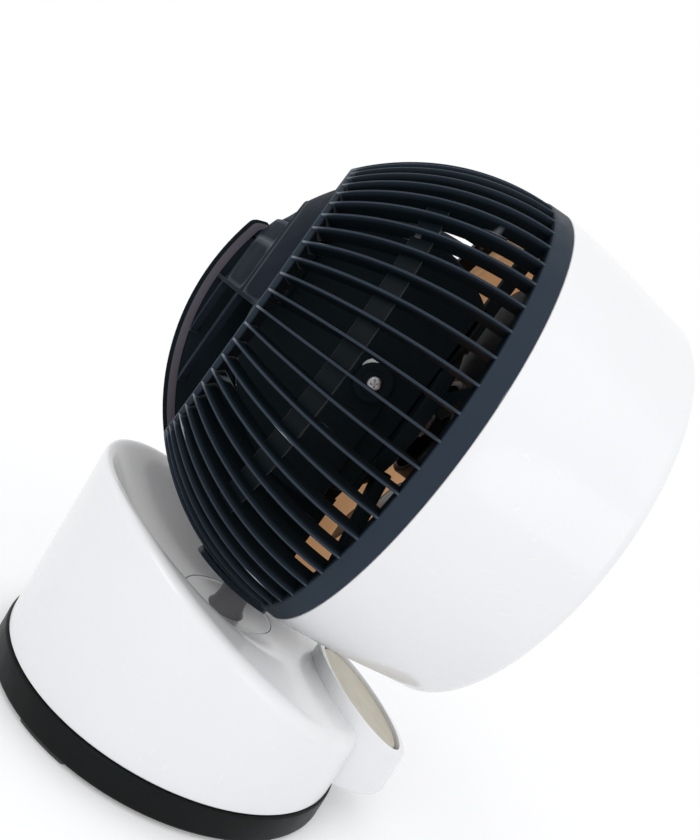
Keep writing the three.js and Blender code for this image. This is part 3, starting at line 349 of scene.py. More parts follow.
def finish_piece(obj, material, body, sharp):
    """Smooth faces with edges over the given angle kept sharp, a material and a body to ride on."""
    mesh = obj.data
    mesh.materials.clear()
    mesh.materials.append(material)
    mesh.shade_smooth()
    mesh.set_sharp_from_angle(angle=radians(sharp))
    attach(obj, body)


def ring_of(k, n):
    """The point numbers of ring k, with n points to a ring."""
    return range(k * n, (k + 1) * n)


def quads(lower, upper):
    """Faces between two closed runs of point numbers."""
    n = len(lower)
    return [(lower[i], lower[(i + 1) % n], upper[(i + 1) % n], upper[i]) for i in range(n)]


def spread(first, last, steps):
    """Evenly spaced values from first to last, both included."""
    return [first + (last - first) * i / steps for i in range(steps + 1)]


def polar(r, a, x=0, y=0):
    """The point at a distance and angle from (x, y)."""
    return x + r * cos(a), y + r * sin(a)


def around(count):
    """The angles of a whole turn in equal steps."""
    return [2 * pi * i / count for i in range(count)]


def quarter(steps):
    """The angles of a quarter turn in equal steps, both ends included."""
    return [pi / 2 * i / steps for i in range(steps + 1)]


def softened(thick, edge):
    """The (depth, inset) steps of a plate whose edges are softened on both faces."""
    near = [(0, edge), (edge * 0.3, edge * 0.3), (edge, 0)]
    return near + [(thick - depth, inset) for depth, inset in reversed(near)]


class Builder:
    """Collects points and faces of several closed forms into one mesh."""

    def __init__(self):
        self.verts = []
        self.faces = []

    def add(self, verts, faces):
        start = len(self.verts)
        self.verts.extend(verts)
        self.faces.extend([tuple(start + i for i in f) for f in faces])

    def rings(self, rings, closed=False):
        """Joins rings of equal length; open runs get flat ends."""
        n, count = len(rings[0]), len(rings)
        faces = []
        for k in range(count if closed else count - 1):
            faces += quads(ring_of(k, n), ring_of((k + 1) % count, n))
        if not closed:
            faces += [tuple(ring_of(0, n)), tuple(reversed(ring_of(count - 1, n)))]
        self.add([v for ring in rings for v in ring], faces)

    def plate(self, outline, spot, thick, edge):
        """A flat plate with softened edges. spot(a, b, t) places outline point (a, b) at depth t."""
        self.rings([[spot(a, b, t) for a, b in (shrink(outline, inset) if inset else outline)]
                    for t, inset in softened(thick, edge)])

    def make(self, name, material, body, place, sharp=35):
        obj = piece(name, self, place)
        finish_piece(obj, material, body, sharp)
        return obj


def shrink(outline, amount):
    """Moves each side of a closed outline inwards by the same amount."""
    n = len(outline)
    area = sum(outline[i][0] * outline[(i + 1) % n][1] - outline[(i + 1) % n][0] * outline[i][1]
               for i in range(n))
    sign = 1 if area > 0 else -1
    out = []
    for i in range(n):
        p, q, r = (Vector(outline[(i + k) % n]) for k in (-1, 0, 1))
        u, v = (q - p).normalized(), (r - q).normalized()
        nu, nv = Vector((-u.y, u.x)) * sign, Vector((-v.y, v.x)) * sign
        m = nu + nv
        scale = amount / max(m.dot(nu), 0.5)
        out.append(tuple(q + m * scale))
    return out


def rounded(points, steps=5):
    """Rounds the corners of a closed outline. Each point is (a, b) or (a, b, radius)."""
    n = len(points)
    out = []
    for i in range(n):
        q = Vector(points[i][:2])
        radius = points[i][2] if len(points[i]) > 2 else 0
        if not radius:
            out.append(tuple(q))
            continue
        u = (Vector(points[i - 1][:2]) - q).normalized()
        v = (Vector(points[(i + 1) % n][:2]) - q).normalized()
        half = acos(max(-1, min(1, u.dot(v)))) / 2
        back = radius / tan(half)
        centre = q + (u + v).normalized() * (radius / sin(half))
        start, end = q + u * back - centre, q + v * back - centre
        a0 = atan2(start.y, start.x)
        turn = atan2(end.y, end.x) - a0
        turn = (turn + pi) % (2 * pi) - pi
        for k in range(steps + 1):
            out.append(polar(radius, a0 + turn * k / steps, centre.x, centre.y))
    return out


def supported(outline, reach=0.7):
    """Adds points near both ends of each long side, so that the edge lightening (painted highlight and a
    little wear) stays at the edges.
    """
    out = []
    for i, point in enumerate(outline):
        p, q = Vector(point), Vector(outline[(i + 1) % len(outline)])
        out.append(tuple(p))
        length = (q - p).length
        if length > 3 * reach:
            out += [tuple(p.lerp(q, reach / length)), tuple(q.lerp(p, reach / length))]
    return out


def arc(radius, y0, y1, steps):
    """Points of a circle in the (radius, axis) plane between two axis positions."""
    return [polar(radius, a) for a in spread(asin(y0 / radius), asin(y1 / radius), steps)]


def chord(radius, distance):
    return sqrt(max(radius * radius - distance * distance, 0))


def turn_y(r, h, a):
    return (r * cos(a), h, r * sin(a))


def turn_z(r, h, a):
    return (*polar(r, a), h)


def lathe(build, profile, segments, spot=turn_y, start=0.0, end=2 * pi):
    """Turns a closed profile of (radius, height) points; a part turn gets flat ends."""
    whole = abs(end - start - 2 * pi) < 1e-9
    count = segments if whole else max(int(segments * (end - start) / (2 * pi)), 2) + 1
    steps = segments if whole else count - 1
    build.rings([[spot(r, h, start + (end - start) * i / steps) for r, h in profile]
                 for i in range(count)], closed=whole)


def section(width, depth, radius):
    """A rectangle of the given width, from depth 0 down, with rounded corners: (across, depth)."""
    return block(-width / 2, width / 2, 0, -depth, [radius] * 4, 3)


def block(a0, a1, b0, b1, radii, steps=4):
    """A rectangle with rounded corners, as (a, b) points that start at its corner (a0, b0)."""
    corners = ((a0, b0), (a1, b0), (a1, b1), (a0, b1))
    return rounded([(*corner, radius) for corner, radius in zip(corners, radii)], steps)


# -------- rear grille

HOOP_Y = DOME_R * sin(radians(26.9))
CAP_EDGE_Y = DOME_R * sin(radians(50.1))
CAP_BACK_Y = CAP_EDGE_Y * (INNER_R - CAP_WALL) / DOME_R
CAP_SEAT_R = chord(INNER_R, CAP_BACK_Y) - 5
CUT_HALF = SLOT_HALF + SLOT_FLANGE + SEAT_GAP
BAR_END = SLOT_HALF + SLOT_FLANGE - 0.5


def in_slot(index):
    off = abs(index - RIB_COUNT // 4)
    steps = min(off, RIB_COUNT - off)
    reach = sin(2 * pi * steps / RIB_COUNT) * chord(DOME_R, CAP_EDGE_Y)
    return steps < RIB_COUNT / 4 and reach < SLOT_HALF + SLOT_FLANGE


def add_ribs(build):
    """Deep meridian ribs with a rounded outer edge, a little thicker where they meet the rim."""
    first, last = asin(6.0 / DOME_R), asin((CAP_EDGE_Y - 0.6) / DOME_R)
    outer_half, root_half, rim_extra, steps = 0.5, 0.8, 0.15, 30
    for index in range(RIB_COUNT):
        if in_slot(index):
            continue
        a = -2 * pi * index / RIB_COUNT
        side = Vector((-sin(a), 0, cos(a)))
        rings = []
        for i, lat in enumerate(spread(first, last, steps)):
            out = Vector((cos(a) * cos(lat), sin(lat), sin(a) * cos(lat)))
            root = root_half + rim_extra * (1 - i / steps)
            ring = supported(rounded([(-outer_half, 0, 0.35), (outer_half, 0, 0.35),
                                      (root, 0.1 - RIB_DEPTH, 0.3), (-root, 0.1 - RIB_DEPTH, 0.3)], 3), 0.5)
            rings.append([tuple(out * (DOME_R + d) + side * t) for t, d in ring])
        build.rings(rings)


def band(build, profile):
    """A ring of the given (radius, y) profile, open where the neck slot cuts it."""
    gap = asin(CUT_HALF / min(r for r, y in profile))
    lathe(build, profile, 240, turn_y, -pi / 2 + gap, 1.5 * pi - gap)


def notched_rim(build):
    """The rim band: whole in front, open behind where the neck slot runs into it."""
    profile = supported(rounded([
        (DOME_R + 0.6, 0.3, 0.25), (chord(DOME_R, 10) + 0.3, 10, 0.9),
        (chord(INNER_R, 10) - 0.4, 10, 0.9), (DOME_R - 4.4, 0.3, 0.3)], 4))
    lip = SLOT_FRONT_Y - 0.3
    short = [(r, min(y, lip)) for r, y in profile]
    gap = asin(CUT_HALF / DOME_R)
    steps, cut_steps, turn = 300, 12, 0.0004
    rings = []
    for i in range(steps):
        if i <= cut_steps:
            a = -pi / 2 - gap + 2 * gap * i / cut_steps
        else:
            a = -pi / 2 + gap + (2 * pi - 2 * gap) * (i - cut_steps) / (steps - cut_steps)
        if i in (0, cut_steps):
            for k, p in enumerate((profile, short) if i == 0 else (short, profile)):
                rings.append([turn_y(r, y, a + (k - 0.5) * turn) for r, y in p])
        else:
            rings.append([turn_y(r, y, a) for r, y in (short if i < cut_steps else profile)])
    build.rings(rings, closed=True)


def make_grille():
    build = Builder()
    notched_rim(build)
    add_ribs(build)
    hoop_r, hoop_half, hoop_wall = DOME_R - 4.6, 4.25, 2
    hoop = arc(hoop_r, HOOP_Y - hoop_half, HOOP_Y + hoop_half, 4)
    inner = [(r * (1 - hoop_wall / hoop_r), y * (1 - hoop_wall / hoop_r)) for r, y in hoop]
    hoop = rounded([(*hoop[0], 0.5), *hoop[1:-1], (*hoop[-1], 0.5),
                    (*inner[-1], 0.5), *inner[-2:0:-1], (*inner[0], 0.5)], 3)
    band(build, supported(hoop, 0.5))
    front = CAP_EDGE_Y - 2.6
    ring = rounded([
        (chord(DOME_R - 1.4, front), front, 0.5), (chord(DOME_R, CAP_EDGE_Y) + 0.3, CAP_EDGE_Y, 0.6),
        (CAP_SEAT_R, chord(INNER_R, CAP_SEAT_R), 0.25),
        (CAP_SEAT_R, chord(INNER_R - CAP_WALL, CAP_SEAT_R), 0.25),
        (chord(INNER_R - CAP_WALL, CAP_BACK_Y), CAP_BACK_Y, 0.4)], 3)
    band(build, supported(ring))
    grille = build.make("grille_moulding", NAVY, "head", HEAD, 40)
    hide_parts("rear_grille")


# -------- rear cap with its grip pocket

def on_cap(x, z, lift=0.0):
    """A point of the cap's outer surface, or one that far above it."""
    y = sqrt(INNER_R ** 2 - x * x - z * z)
    return tuple(Vector((x, y, z)) * (1 + lift / INNER_R))


def sheet(build, rows):
    """A closed sheet of the cap from a grid of (x, z) rows."""
    n, m = len(rows[0]), len(rows)
    top = [on_cap(x, z) for row in rows for x, z in row]
    low = [on_cap(x, z, -CAP_WALL) for row in rows for x, z in row]
    faces = []
    for k in range(m - 1):
        for i in range(n - 1):
            a, b = k * n + i, (k + 1) * n + i
            faces.append((a, a + 1, b + 1, b))
            faces.append((a + n * m, b + n * m, b + 1 + n * m, a + 1 + n * m))
    border = [*range(n), *(k * n + n - 1 for k in range(1, m)),
              *((m - 1) * n + i for i in range(n - 2, -1, -1)), *(k * n for k in range(m - 2, 0, -1))]
    faces += quads(border, [p + n * m for p in border])
    build.add(top + low, faces)


def cap_bar(build, points):
    """A bar of the cap that runs through (x, z) points, with a rounded section. It stands prouder
    below the cap's middle."""
    width, proud_above, proud_more, sunk = 1.8, 0.3, 0.9, 0.7
    rings = []
    for i, (x, z) in enumerate(points):
        ahead = points[min(i + 1, len(points) - 1)]
        behind = points[max(i - 1, 0)]
        run = Vector((ahead[0] - behind[0], ahead[1] - behind[1])).normalized()
        side = Vector((-run.y, run.x))
        proud = proud_above + proud_more * min(max(1 - z / 3, 0), 1)
        shape = supported(section(width, CAP_WALL + proud + sunk, 0.5), 0.4)
        rings.append([on_cap(x + side.x * t, z + side.y * t, proud + d) for t, d in shape])
    build.rings(rings)


def pocket_outline(radius, level, corner):
    """The part of a circle above a level, with its two corners rounded."""
    a0 = asin(level / radius)
    points = [polar(radius, a0 + (pi - 2 * a0) * i / 26) for i in range(27)]
    return rounded([(*points[0], corner), *points[1:-1], (*points[-1], corner)], 4)


def make_cap():
    build = Builder()
    rim = CAP_SEAT_R - SEAT_GAP
    for radius in (RING_OUTER, RING_INNER):
        gap = asin(BAR_END / radius)
        cap_bar(build, [polar(radius, -pi / 2 + gap + (2 * pi - 2 * gap) * i / 110)
                        for i in range(111)])
    for side in (-1, 1):
        cap_bar(build, [(side * x, 0) for x in spread(BAR_END, rim, 20)])
    sheet(build, [[polar(r, pi * i / 90) for i in range(91)] for r in spread(RING_OUTER, rim, 6)])
    split = SLOT_TOP_Z + SEAT_GAP
    top = POCKET_Z + CAP_WALL
    for side in (-1, 1):
        sheet(build, [[(side * x, z) for x in spread(chord(RING_INNER, z), chord(RING_OUTER, z), 10)]
                      for z in (split * k / 8 for k in range(9))])
    sheet(build, [[(chord(RING_OUTER, z) * (i / 24 - 1), z) for i in range(49)]
                  for z in spread(split, top, 5)])
    # The grip pocket: a pan that goes down from the cap's surface, with a wall round it.
    inside = pocket_outline(RING_OUTER - CAP_WALL, top, 5.0)
    outside = shrink(inside, -CAP_WALL)
    floor = chord(INNER_R, RING_OUTER) - POCKET_DEPTH
    deep = floor + CAP_WALL
    lip = 0.7
    rings = [[on_cap(x, z) for x, z in outside], [on_cap(x, z) for x, z in shrink(inside, -lip)],
             [on_cap(x, z, -lip) for x, z in inside]]
    for rise, inset in ((4, 0.4), (2.2, 0.6), (0.8, 1.3), (0.2, 2.6), (0, 4.2)):
        rings.append([(x, deep + rise, z) for x, z in shrink(inside, inset)])
    rings += [[(x, y, z) for x, z in outside] for y in (floor + 1, floor)]
    n, count = len(inside), len(rings)
    faces = [tuple(ring_of(count - 3, n)), tuple(reversed(ring_of(count - 1, n)))]
    for k in range(count - 3):
        faces += quads(ring_of(k, n), ring_of(k + 1, n))
    faces += quads(ring_of(0, n), ring_of(count - 2, n))
    faces += quads(ring_of(count - 2, n), ring_of(count - 1, n))
    build.add([v for ring in rings for v in ring], faces)
    cap = build.make("cap_moulding", SHADED_CAP_NAVY, "head", HEAD, 40)
    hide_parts("rear_cap")


# -------- slot chute and shoe

def make_chute():
    """The two walls beside the slot, a band on each painted lighter as painted light, and the bar that
    closes its top.
    """
    far = SLOT_HALF + SLOT_FLANGE
    outer_r = chord(DOME_R, far)
    low = atan2(-chord(outer_r, SLOT_FRONT_Y), SLOT_FRONT_Y)
    high = asin(SLOT_TOP_Z / outer_r)
    turns = spread(low, high, 64) + spread(high, asin((POCKET_Z + 0.5) / outer_r), 8)[:-1]
    drops = [0] * (len(turns) - len(RUN_UP_TAPER)) + [*RUN_UP_TAPER]
    outer = [polar(outer_r - d, a) for a, d in zip(turns, drops)]
    front = SLOT_FRONT_Y - PIVOT_BACK
    swing = spread(atan2(-chord(CHUTE_R, front), front), asin((SLOT_TOP_Z - PIVOT_RISE) / CHUTE_R), 64)
    inner = [polar(CHUTE_R, a, PIVOT_BACK, PIVOT_RISE) for a in swing]
    seat = INNER_R - CAP_WALL
    inner += [polar(seat, a, -0.8) for a in turns[len(swing):]]

    def add_wall(target, side, near, thick, span=None):
        """A wall of the slot, or the band of it that lies span[0] to span[1] below the outside."""
        layers = []
        for t, inset in softened(thick, thick / 5):
            tops, feet = [], []
            for o, n in zip(outer, inner):
                o, n = Vector(o), Vector(n)
                if span:
                    run = -o.normalized()
                    tops.append(o + run * (span[0] + inset))
                    feet.append(o + run * (span[1] - inset))
                else:
                    run = (n - o).normalized()
                    tops.append(o + run * inset)
                    feet.append(n - run * inset)
            layers.append([(side * (SLOT_HALF + near + t), *p) for p in tops + feet[::-1]])
        add_strip_wall(target, layers, len(outer))

    build, lips = Builder(), Builder()
    for side in (-1, 1):
        add_wall(build, side, 0, SLOT_FLANGE - 0.4)
        add_wall(lips, side, SLOT_FLANGE - 0.5, 0.5, LIP_SPAN)
    half = SLOT_HALF + 0.2
    y0 = PIVOT_BACK + chord(CHUTE_R, SLOT_TOP_Z - PIVOT_RISE)
    y1 = chord(DOME_R, hypot(half, SLOT_TOP_Z)) - 0.3
    shape = rounded([(y0, SLOT_TOP_Z - SLOT_FLANGE, 0.4), (y1, SLOT_TOP_Z - SLOT_FLANGE, 0.5),
                     (y1 - 0.2, SLOT_TOP_Z, 0.5), (y0, SLOT_TOP_Z, 0.4)], 3)
    build.rings([[(x, y, z) for y, z in shape] for x in (-half, half)])
    chute = build.make("chute_walls", SHADED_INNER, "head", HEAD, 40)
    edge = lips.make("chute_lip", PAINTED_LIGHT_LIP, "head", HEAD, 40)
    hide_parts("slot_chute")


def add_strip_wall(build, layers, run):
    """A solid from layers of one strip-shaped outline; its two faces are closed with quads."""
    n = len(layers[0])
    faces = []
    for k in range(len(layers) - 1):
        faces += quads(ring_of(k, n), ring_of(k + 1, n))
    for base in (0, (len(layers) - 1) * n):
        for i in range(run - 1):
            faces.append((base + i, base + i + 1, base + n - 2 - i, base + n - 1 - i))
    build.add([v for layer in layers for v in layer], faces)


def make_shoe():
    build = Builder()
    low = DOME_R + 0.9
    high = low + SHOE_PROUD
    front, half = 0.6, 20

    def spot(x, y, r):
        return x, y * r / high, -sqrt(max(r * r - (y * r / high) ** 2 - x * x, 0))

    def profile(a0, a1):
        return supported(block(a0, a1, low, high, (0.3, 0.3, 0.7, 0.7)))

    for side in (-1, 1):
        build.rings([[spot(side * x, front + (SHOE_LENGTH - 0.1) * i / 28, r)
                      for x, r in profile(SLOT_HALF, half)] for i in range(29)])
    build.rings([[spot(x, y, r) for y, r in profile(front, SLOT_FRONT_Y)]
                 for x in (-19.9 + 39.8 * i / 24 for i in range(25))])
    shoe = build.make("shoe_moulding", NAVY, "head", HEAD, 40)
    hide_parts("slot_shoe")


# -------- white ring, duct and front grille

RING_REAR = DOME_R + 0.8
RING_FRONT = RING_REAR - 6.4
RING_DEPTH = 80.0
LIP_R = RING_FRONT - 13.4
DUCT_R = LIP_R - 0.5


def make_ring():
    build = Builder()
    nose = 8.0
    nose_y = -RING_DEPTH + nose
    outside = [(RING_REAR - 0.5, -0.02), (RING_REAR - 0.12, -0.25), (RING_REAR, -0.8)]
    for i in range(1, 21):
        s = i / 20
        y = nose_y * s
        bow = 1.25 * sin(pi * min(s / 0.8, 1)) if s < 0.8 else 0
        outside.append((RING_REAR + (RING_FRONT - RING_REAR) * s ** 1.25 + bow * 0.4, y))
    for i in range(1, 13):
        a = radians(90 * i / 12)
        outside.append((RING_FRONT - nose + nose * cos(a), nose_y - nose * sin(a)))
    inside = [(LIP_R + 1.4, -RING_DEPTH), (LIP_R + 0.4, -RING_DEPTH + 0.4), (LIP_R, -RING_DEPTH + 1.4),
              (LIP_R, -RING_DEPTH + 3.8), (RING_FRONT - nose, -RING_DEPTH + 3.8),
              (RING_FRONT - 2.8, nose_y), (RING_REAR - 4.0, -29), (RING_REAR - 2.8, -0.02)]
    lathe(build, outside + inside, 288)
    ring = build.make("ring_shell", WHITE, "head", HEAD, 30)
    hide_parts("ring_housing")


def make_duct():
    build = Builder()
    wall = DUCT_R + 2.2
    flange_r, flange_front, front = RING_REAR - 2.8 - SEAT_GAP, -2.4, -62
    lathe(build, rounded([
        (DUCT_R, front, 0.5), (wall, front, 0.5), (wall, flange_front, 1.0), (flange_r, flange_front, 0.4),
        (flange_r, 0, 0.4), (wall, 0, 0.3), (DUCT_R + 0.6, -0.3, 0.3), (DUCT_R, -2.2, 0.6)], 4), 240)
    tube = build.make("duct_tube", DUCT, "head", HEAD)
    build = Builder()
    bore_r, plate_r, plate_front, plate_rear = 12, 44, -2.3, 5.7
    lathe(build, block(bore_r, plate_r, plate_front, plate_rear, (0.8, 1.2, 1.0, 0.8)), 144)
    count, root_r, steps = 5, 40, 8
    shape = rounded([(-4.5, -8, 1.6), (4.5, -8, 1.6), (3.6, -1.1, 1.2), (-3.6, -1.1, 1.2)], 4)
    for index in range(count):
        a = 2 * pi * (index + 0.75) / count
        rings = []
        for k, r in enumerate(spread(root_r, DUCT_R + 0.4, steps)):
            flare = 1 + 0.5 * (abs(k - steps / 2) / (steps / 2)) ** 3
            rings.append([(r * cos(a) - w * flare * sin(a), y, -(r * sin(a) + w * flare * cos(a)))
                          for w, y in shape])
        build.rings(rings)
    spokes = build.make("motor_spider", SHADED_INNER, "head", HEAD)
    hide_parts("air_duct")


def make_front():
    build = Builder()
    outer, rim_wide = LIP_R - SEAT_GAP, 3.4
    front = -RING_DEPTH + 4
    rear = front + 5
    lathe(build, block(outer - rim_wide, outer, front, rear, (1.2, 0.8, 0.5, 0.5)), 216)
    hoop_r, hoop_wall = 64, 1.6
    lathe(build, block(hoop_r, hoop_r + hoop_wall, rear - 1.2, rear + 1.5, (0.4, 0.4, 0.5, 0.5), 3), 180)
    cap_r, dome = 26, 2.0
    cap = [(0.0, front - dome)]
    for i in range(1, 13):
        s = i / 12
        cap.append(((cap_r - 0.6) * s, front - dome + 1.9 * s ** 2.2))
    cap += rounded([(cap_r, front + 0.1), (cap_r + 1, front + 0.6, 0.5), (cap_r + 1, rear, 0.5),
                    (cap_r - 2, rear)], 3)[1:]
    cap.append((0.0, rear))
    lathe(build, [(max(r, 0.01), y) for r, y in cap], 120)
    blades, sweep, steps = 24, radians(34), 22
    shape = section(1.6, 4.0, 0.55)
    for index in range(blades):
        rings = []
        for s in (i / steps for i in range(steps + 1)):
            r = cap_r + (outer - rim_wide / 2 - cap_r) * s
            a = 2 * pi * index / blades + sweep * s * s
            out, side = Vector((cos(a), 0, sin(a))), Vector((-sin(a), 0, cos(a)))
            rings.append([tuple(out * r + side * t + Vector((0, front + 0.5 - d, 0))) for t, d in shape])
        build.rings(rings)
    front_grille = build.make("front_moulding", WHITE, "head", HEAD)
    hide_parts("front_grille")


# -------- motor, pivot and impeller

def make_motor():
    """The dark housing between the yoke's arms: its side view, thickened with rounded edges, with
    a step under the grip pocket and cooling slots on its cheeks."""
    half, edge, corner = 36, 2.2, 4
    front, rear = 3.0, chord(INNER_R, RING_OUTER) - POCKET_DEPTH - 2.2
    drum_r, hood_r, hood_y = 53.2, 68, 42
    step_low, step_high, step_front, step_rear = 12.5, POCKET_Z - 1.2, 76, 86.8
    drum = spread(atan2(-chord(drum_r, front - PIVOT_BACK), front - PIVOT_BACK),
                  asin((step_low - corner - PIVOT_RISE) / drum_r), 48)
    rise = chord(hood_r, rear - hood_y)
    hood = spread(atan2(rise, rear - hood_y), atan2(chord(hood_r, front - hood_y), front - hood_y), 40)
    points = [polar(drum_r, a, PIVOT_BACK, PIVOT_RISE) for a in drum]
    points[0] = (*points[0], corner)
    points.append((rear, PIVOT_RISE + rise, corner))
    points += [polar(hood_r, a, hood_y, PIVOT_RISE) for a in hood[3:-1]]
    points.append((front, PIVOT_RISE + chord(hood_r, front - hood_y), corner))
    side = rounded(points, 4)
    build = Builder()
    layers = [(-half, edge + 1)]
    for k in range(8):
        a = pi / 2 * (1 - k / 7)
        layers.append((edge * (1 - sin(a)) - half, edge * (1 - cos(a))))
    layers += [(-x, inset) for x, inset in reversed(layers)]
    build.rings([[(x, y, z) for y, z in shrink(side, inset)] for x, inset in layers])
    shape = block(step_front, step_rear, step_low, step_high, (2, 1.5, 1.5, 2))
    layers = [(-35, 1), (-34.7, 0.3), (-34, 0)]
    layers += [(-x, inset) for x, inset in reversed(layers)]
    build.rings([[(x, y, z) for y, z in shrink(shape, inset)] for x, inset in layers])
    for z in (-30, -22, -14):
        shape = block(10, 40, z, z + 2.4, [1] * 4, 3)
        for x in (-1, 1):
            build.rings([[(x * t, y, w) for y, w in shape] for t in (half - 0.4, half + 0.2)])
    housing = build.make("motor_shell", SHADED_INNER, "head", HEAD)
    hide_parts("motor_housing")


def about_pivot(side):
    """The frame of a piece that points outwards along the tilt axis, its own axis being Z."""
    turn = Matrix.Rotation(radians(90 * side), 4, "Y")
    return HEAD @ Matrix.Translation(Vector((0, PIVOT_BACK, PIVOT_RISE)) * MM) @ turn


def add_screw(build, seat):
    """A pan-head screw with a cross recess, seated at a height on the Z axis."""
    n, radius, rise, shank, tip = 48, 3.3, 2.2, 2.0, seat - 17
    crown = radius * 0.62
    profile = [(0.01, tip), (shank, tip), (shank, seat), (radius - 0.25, seat), (radius, seat + 0.25)]
    for a in quarter(8):
        profile.append((crown + radius * 0.38 * cos(a), seat + rise * 0.4 + rise * 0.6 * sin(a)))
    verts = [turn_z(r, h, a) for r, h in profile for a in around(n)]
    faces = [tuple(reversed(range(n)))]
    for k in range(len(profile) - 1):
        faces += quads(ring_of(k, n), ring_of(k + 1, n))
    # The recess: twelve points of a cross, then its smaller floor.
    half, reach, turn = radius * 0.13, radius * 0.56, 0.5
    cross = []
    for q in range(4):
        c, s = cos(turn + q * pi / 2), sin(turn + q * pi / 2)
        for u, v in ((reach, -half), (reach, half), (half, half)):
            cross.append((u * c - v * s, u * s + v * c))
    base, m = len(verts), len(cross)
    verts += [(x, y, seat + rise) for x, y in cross]
    verts += [(x * 0.72, y * 0.72, seat + rise - radius * 0.42) for x, y in cross]
    floor = range(base + m, base + 2 * m)
    faces += [*quads(range(base, base + m), floor), tuple(floor)]
    faces += [tuple(base + (3 * q + k) % m for k in (1, 2, 3)) for q in range(4)]
    # Each point of the crown's edge joins the nearest point of the cross.
    fill = []
    for a in around(n):
        spot = Vector(polar(crown, a))
        fill.append(base + min(range(m), key=lambda k: (Vector(cross[k]) - spot).length))
    rim = (len(profile) - 1) * n
    for i in range(n):
        j = (i + 1) % n
        near = (fill[i],) if fill[i] == fill[j] else (fill[j], fill[i])
        faces.append((rim + i, rim + j, *near))
    build.add(verts, faces)


def make_pivot(side):
    """The screw, disc and washer of one yoke arm, from the outside in."""
    name = "left" if side > 0 else "right"
    place = about_pivot(side)
    washer_thick, disc_thick = 0.8, 2
    build = Builder()
    add_screw(build, YOKE_OUTER + washer_thick + disc_thick + 3 * SEAT_GAP)
    piece_screw = build.make(f"pivot_screw_head_{name}", STEEL, "head", place)
    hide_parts(f"pivot_screw_{name}")
    build = Builder()
    low = YOKE_OUTER + washer_thick + 2 * SEAT_GAP
    top = low + disc_thick
    bore_r, disc_r, groove = 2.4, 9.2, 0.25
    lathe(build, rounded([(bore_r, low, 0.2), (disc_r, low, 0.3), (disc_r, top, 0.7), (6.2, top, 0.2),
                          (5.9, top - groove, 0.1), (4.4, top - groove, 0.1), (4.1, top, 0.2),
                          (bore_r, top, 0.2)], 3), 96, turn_z)
    disc = build.make(f"pivot_disc_cap_{name}", SHADED_INNER, "head", place)
    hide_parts(f"pivot_disc_{name}")
    # The washer is hidden by the disc but for a crescent, given in degrees from the head's rear.
    # In this frame +Y is the head's rear, and the head's up is -X or +X by the side.
    washer_r, bulge, start, end, up = 8.8, 2.1, 20, 110, -side
    shape = []
    for degrees in (2.5 * i for i in range(144)):
        r = washer_r
        if start < degrees < end:
            r += bulge * sin(pi * (degrees - start) / (end - start)) ** 0.6
        shape.append((up * r * sin(radians(degrees)), r * cos(radians(degrees))))
    if side < 0:
        shape.reverse()
    build = Builder()
    build.plate(shape, lambda a, b, t: (a, b, YOKE_OUTER + SEAT_GAP + t), washer_thick, 0.2)
    washer = build.make(f"pivot_spring_{name}", STEEL, "head", place)
    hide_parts(f"pivot_washer_{name}")


def blade_point(s, c, face, turn):
    """A point of a blade, s from root to tip and c across it, on its front or rear face."""
    r = 26.5 + (96.3 - 26.5) * s
    length = (34 + 42 * s) * sqrt(max(1 - (2 * s - 1) ** 6, 0.35))
    pitch = radians(46 - 22 * s)
    camber = 0.09 * length * (1 - 4 * c * c)
    half_thick = 2.0 * max(1 - 0.62 * abs(2 * c), 0.02) ** 0.6 / 2 * (1 if abs(c) < 0.5 else 0.3)
    lift = camber + face * half_thick
    along = c * length * cos(pitch) + lift * sin(pitch)
    y = -31 - c * length * sin(pitch) + lift * cos(pitch)
    return turn_y(r, y, radians(26) * s * s + along / r + turn)


def make_impeller():
    build = Builder()
    hub_r, bore_r, rear, nose = 28, 7, -14, 14
    front = rear - 34
    hub = [(0.01, front), (8, front + 0.25), (nose, front + 0.9)]
    for a in quarter(16)[1:]:
        hub.append((nose + (hub_r - nose) * sin(a), front + 0.9 + 13 * (1 - cos(a))))
    hub += [(hub_r, rear - 0.4), (hub_r - 0.4, rear), (hub_r - 3, rear), (hub_r - 3, front + 16),
            (bore_r, front + 12), (bore_r, rear), (0.01, rear)]
    lathe(build, hub, 144)
    count, span, across = 5, 22, 18
    for index in range(count):
        turn = -2 * pi * index / count
        rings = []
        for s in (i / span for i in range(span + 1)):
            front_row, back_row = ([blade_point(s, j / across - 0.5, face, turn)
                                    for j in range(across + 1)] for face in (1, -1))
            rings.append(front_row + back_row[::-1])
        build.rings(rings)
    blades = build.make("impeller_moulding", BLADE, "rotor", HEAD, 50)
    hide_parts("impeller")
    build = Builder()
    rear = front - SEAT_GAP
    nut_r, nut_bore = 8, 4.4
    nut = [(0.01, rear - 12), (3.2, rear - 11.7), (5.6, rear - 10.6), (7.1, rear - 8.8),
           (nut_r - 0.2, rear - 6.6), (nut_r, rear - 4.5), (nut_r, rear - 0.5), (nut_r - 0.5, rear),
           (nut_bore, rear), (nut_bore, rear - 6), (0.01, rear - 6)]
    lathe(build, nut, 96)
    spinner = build.make("spinner_cap", BLADE, "rotor", HEAD)
    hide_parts("spinner_nut")


# -------- neck and yoke

TABLE_FLOOR = 58.1
TABLE_SUNK = 0.1
BOWL_R = 105.0
BOWL_LOW = 60.6


def bowl_height(r):
    """The height of the spherical bowl in the base's top, at a distance from the swivel axis."""
    return BOWL_LOW + BOWL_R - chord(BOWL_R, r)


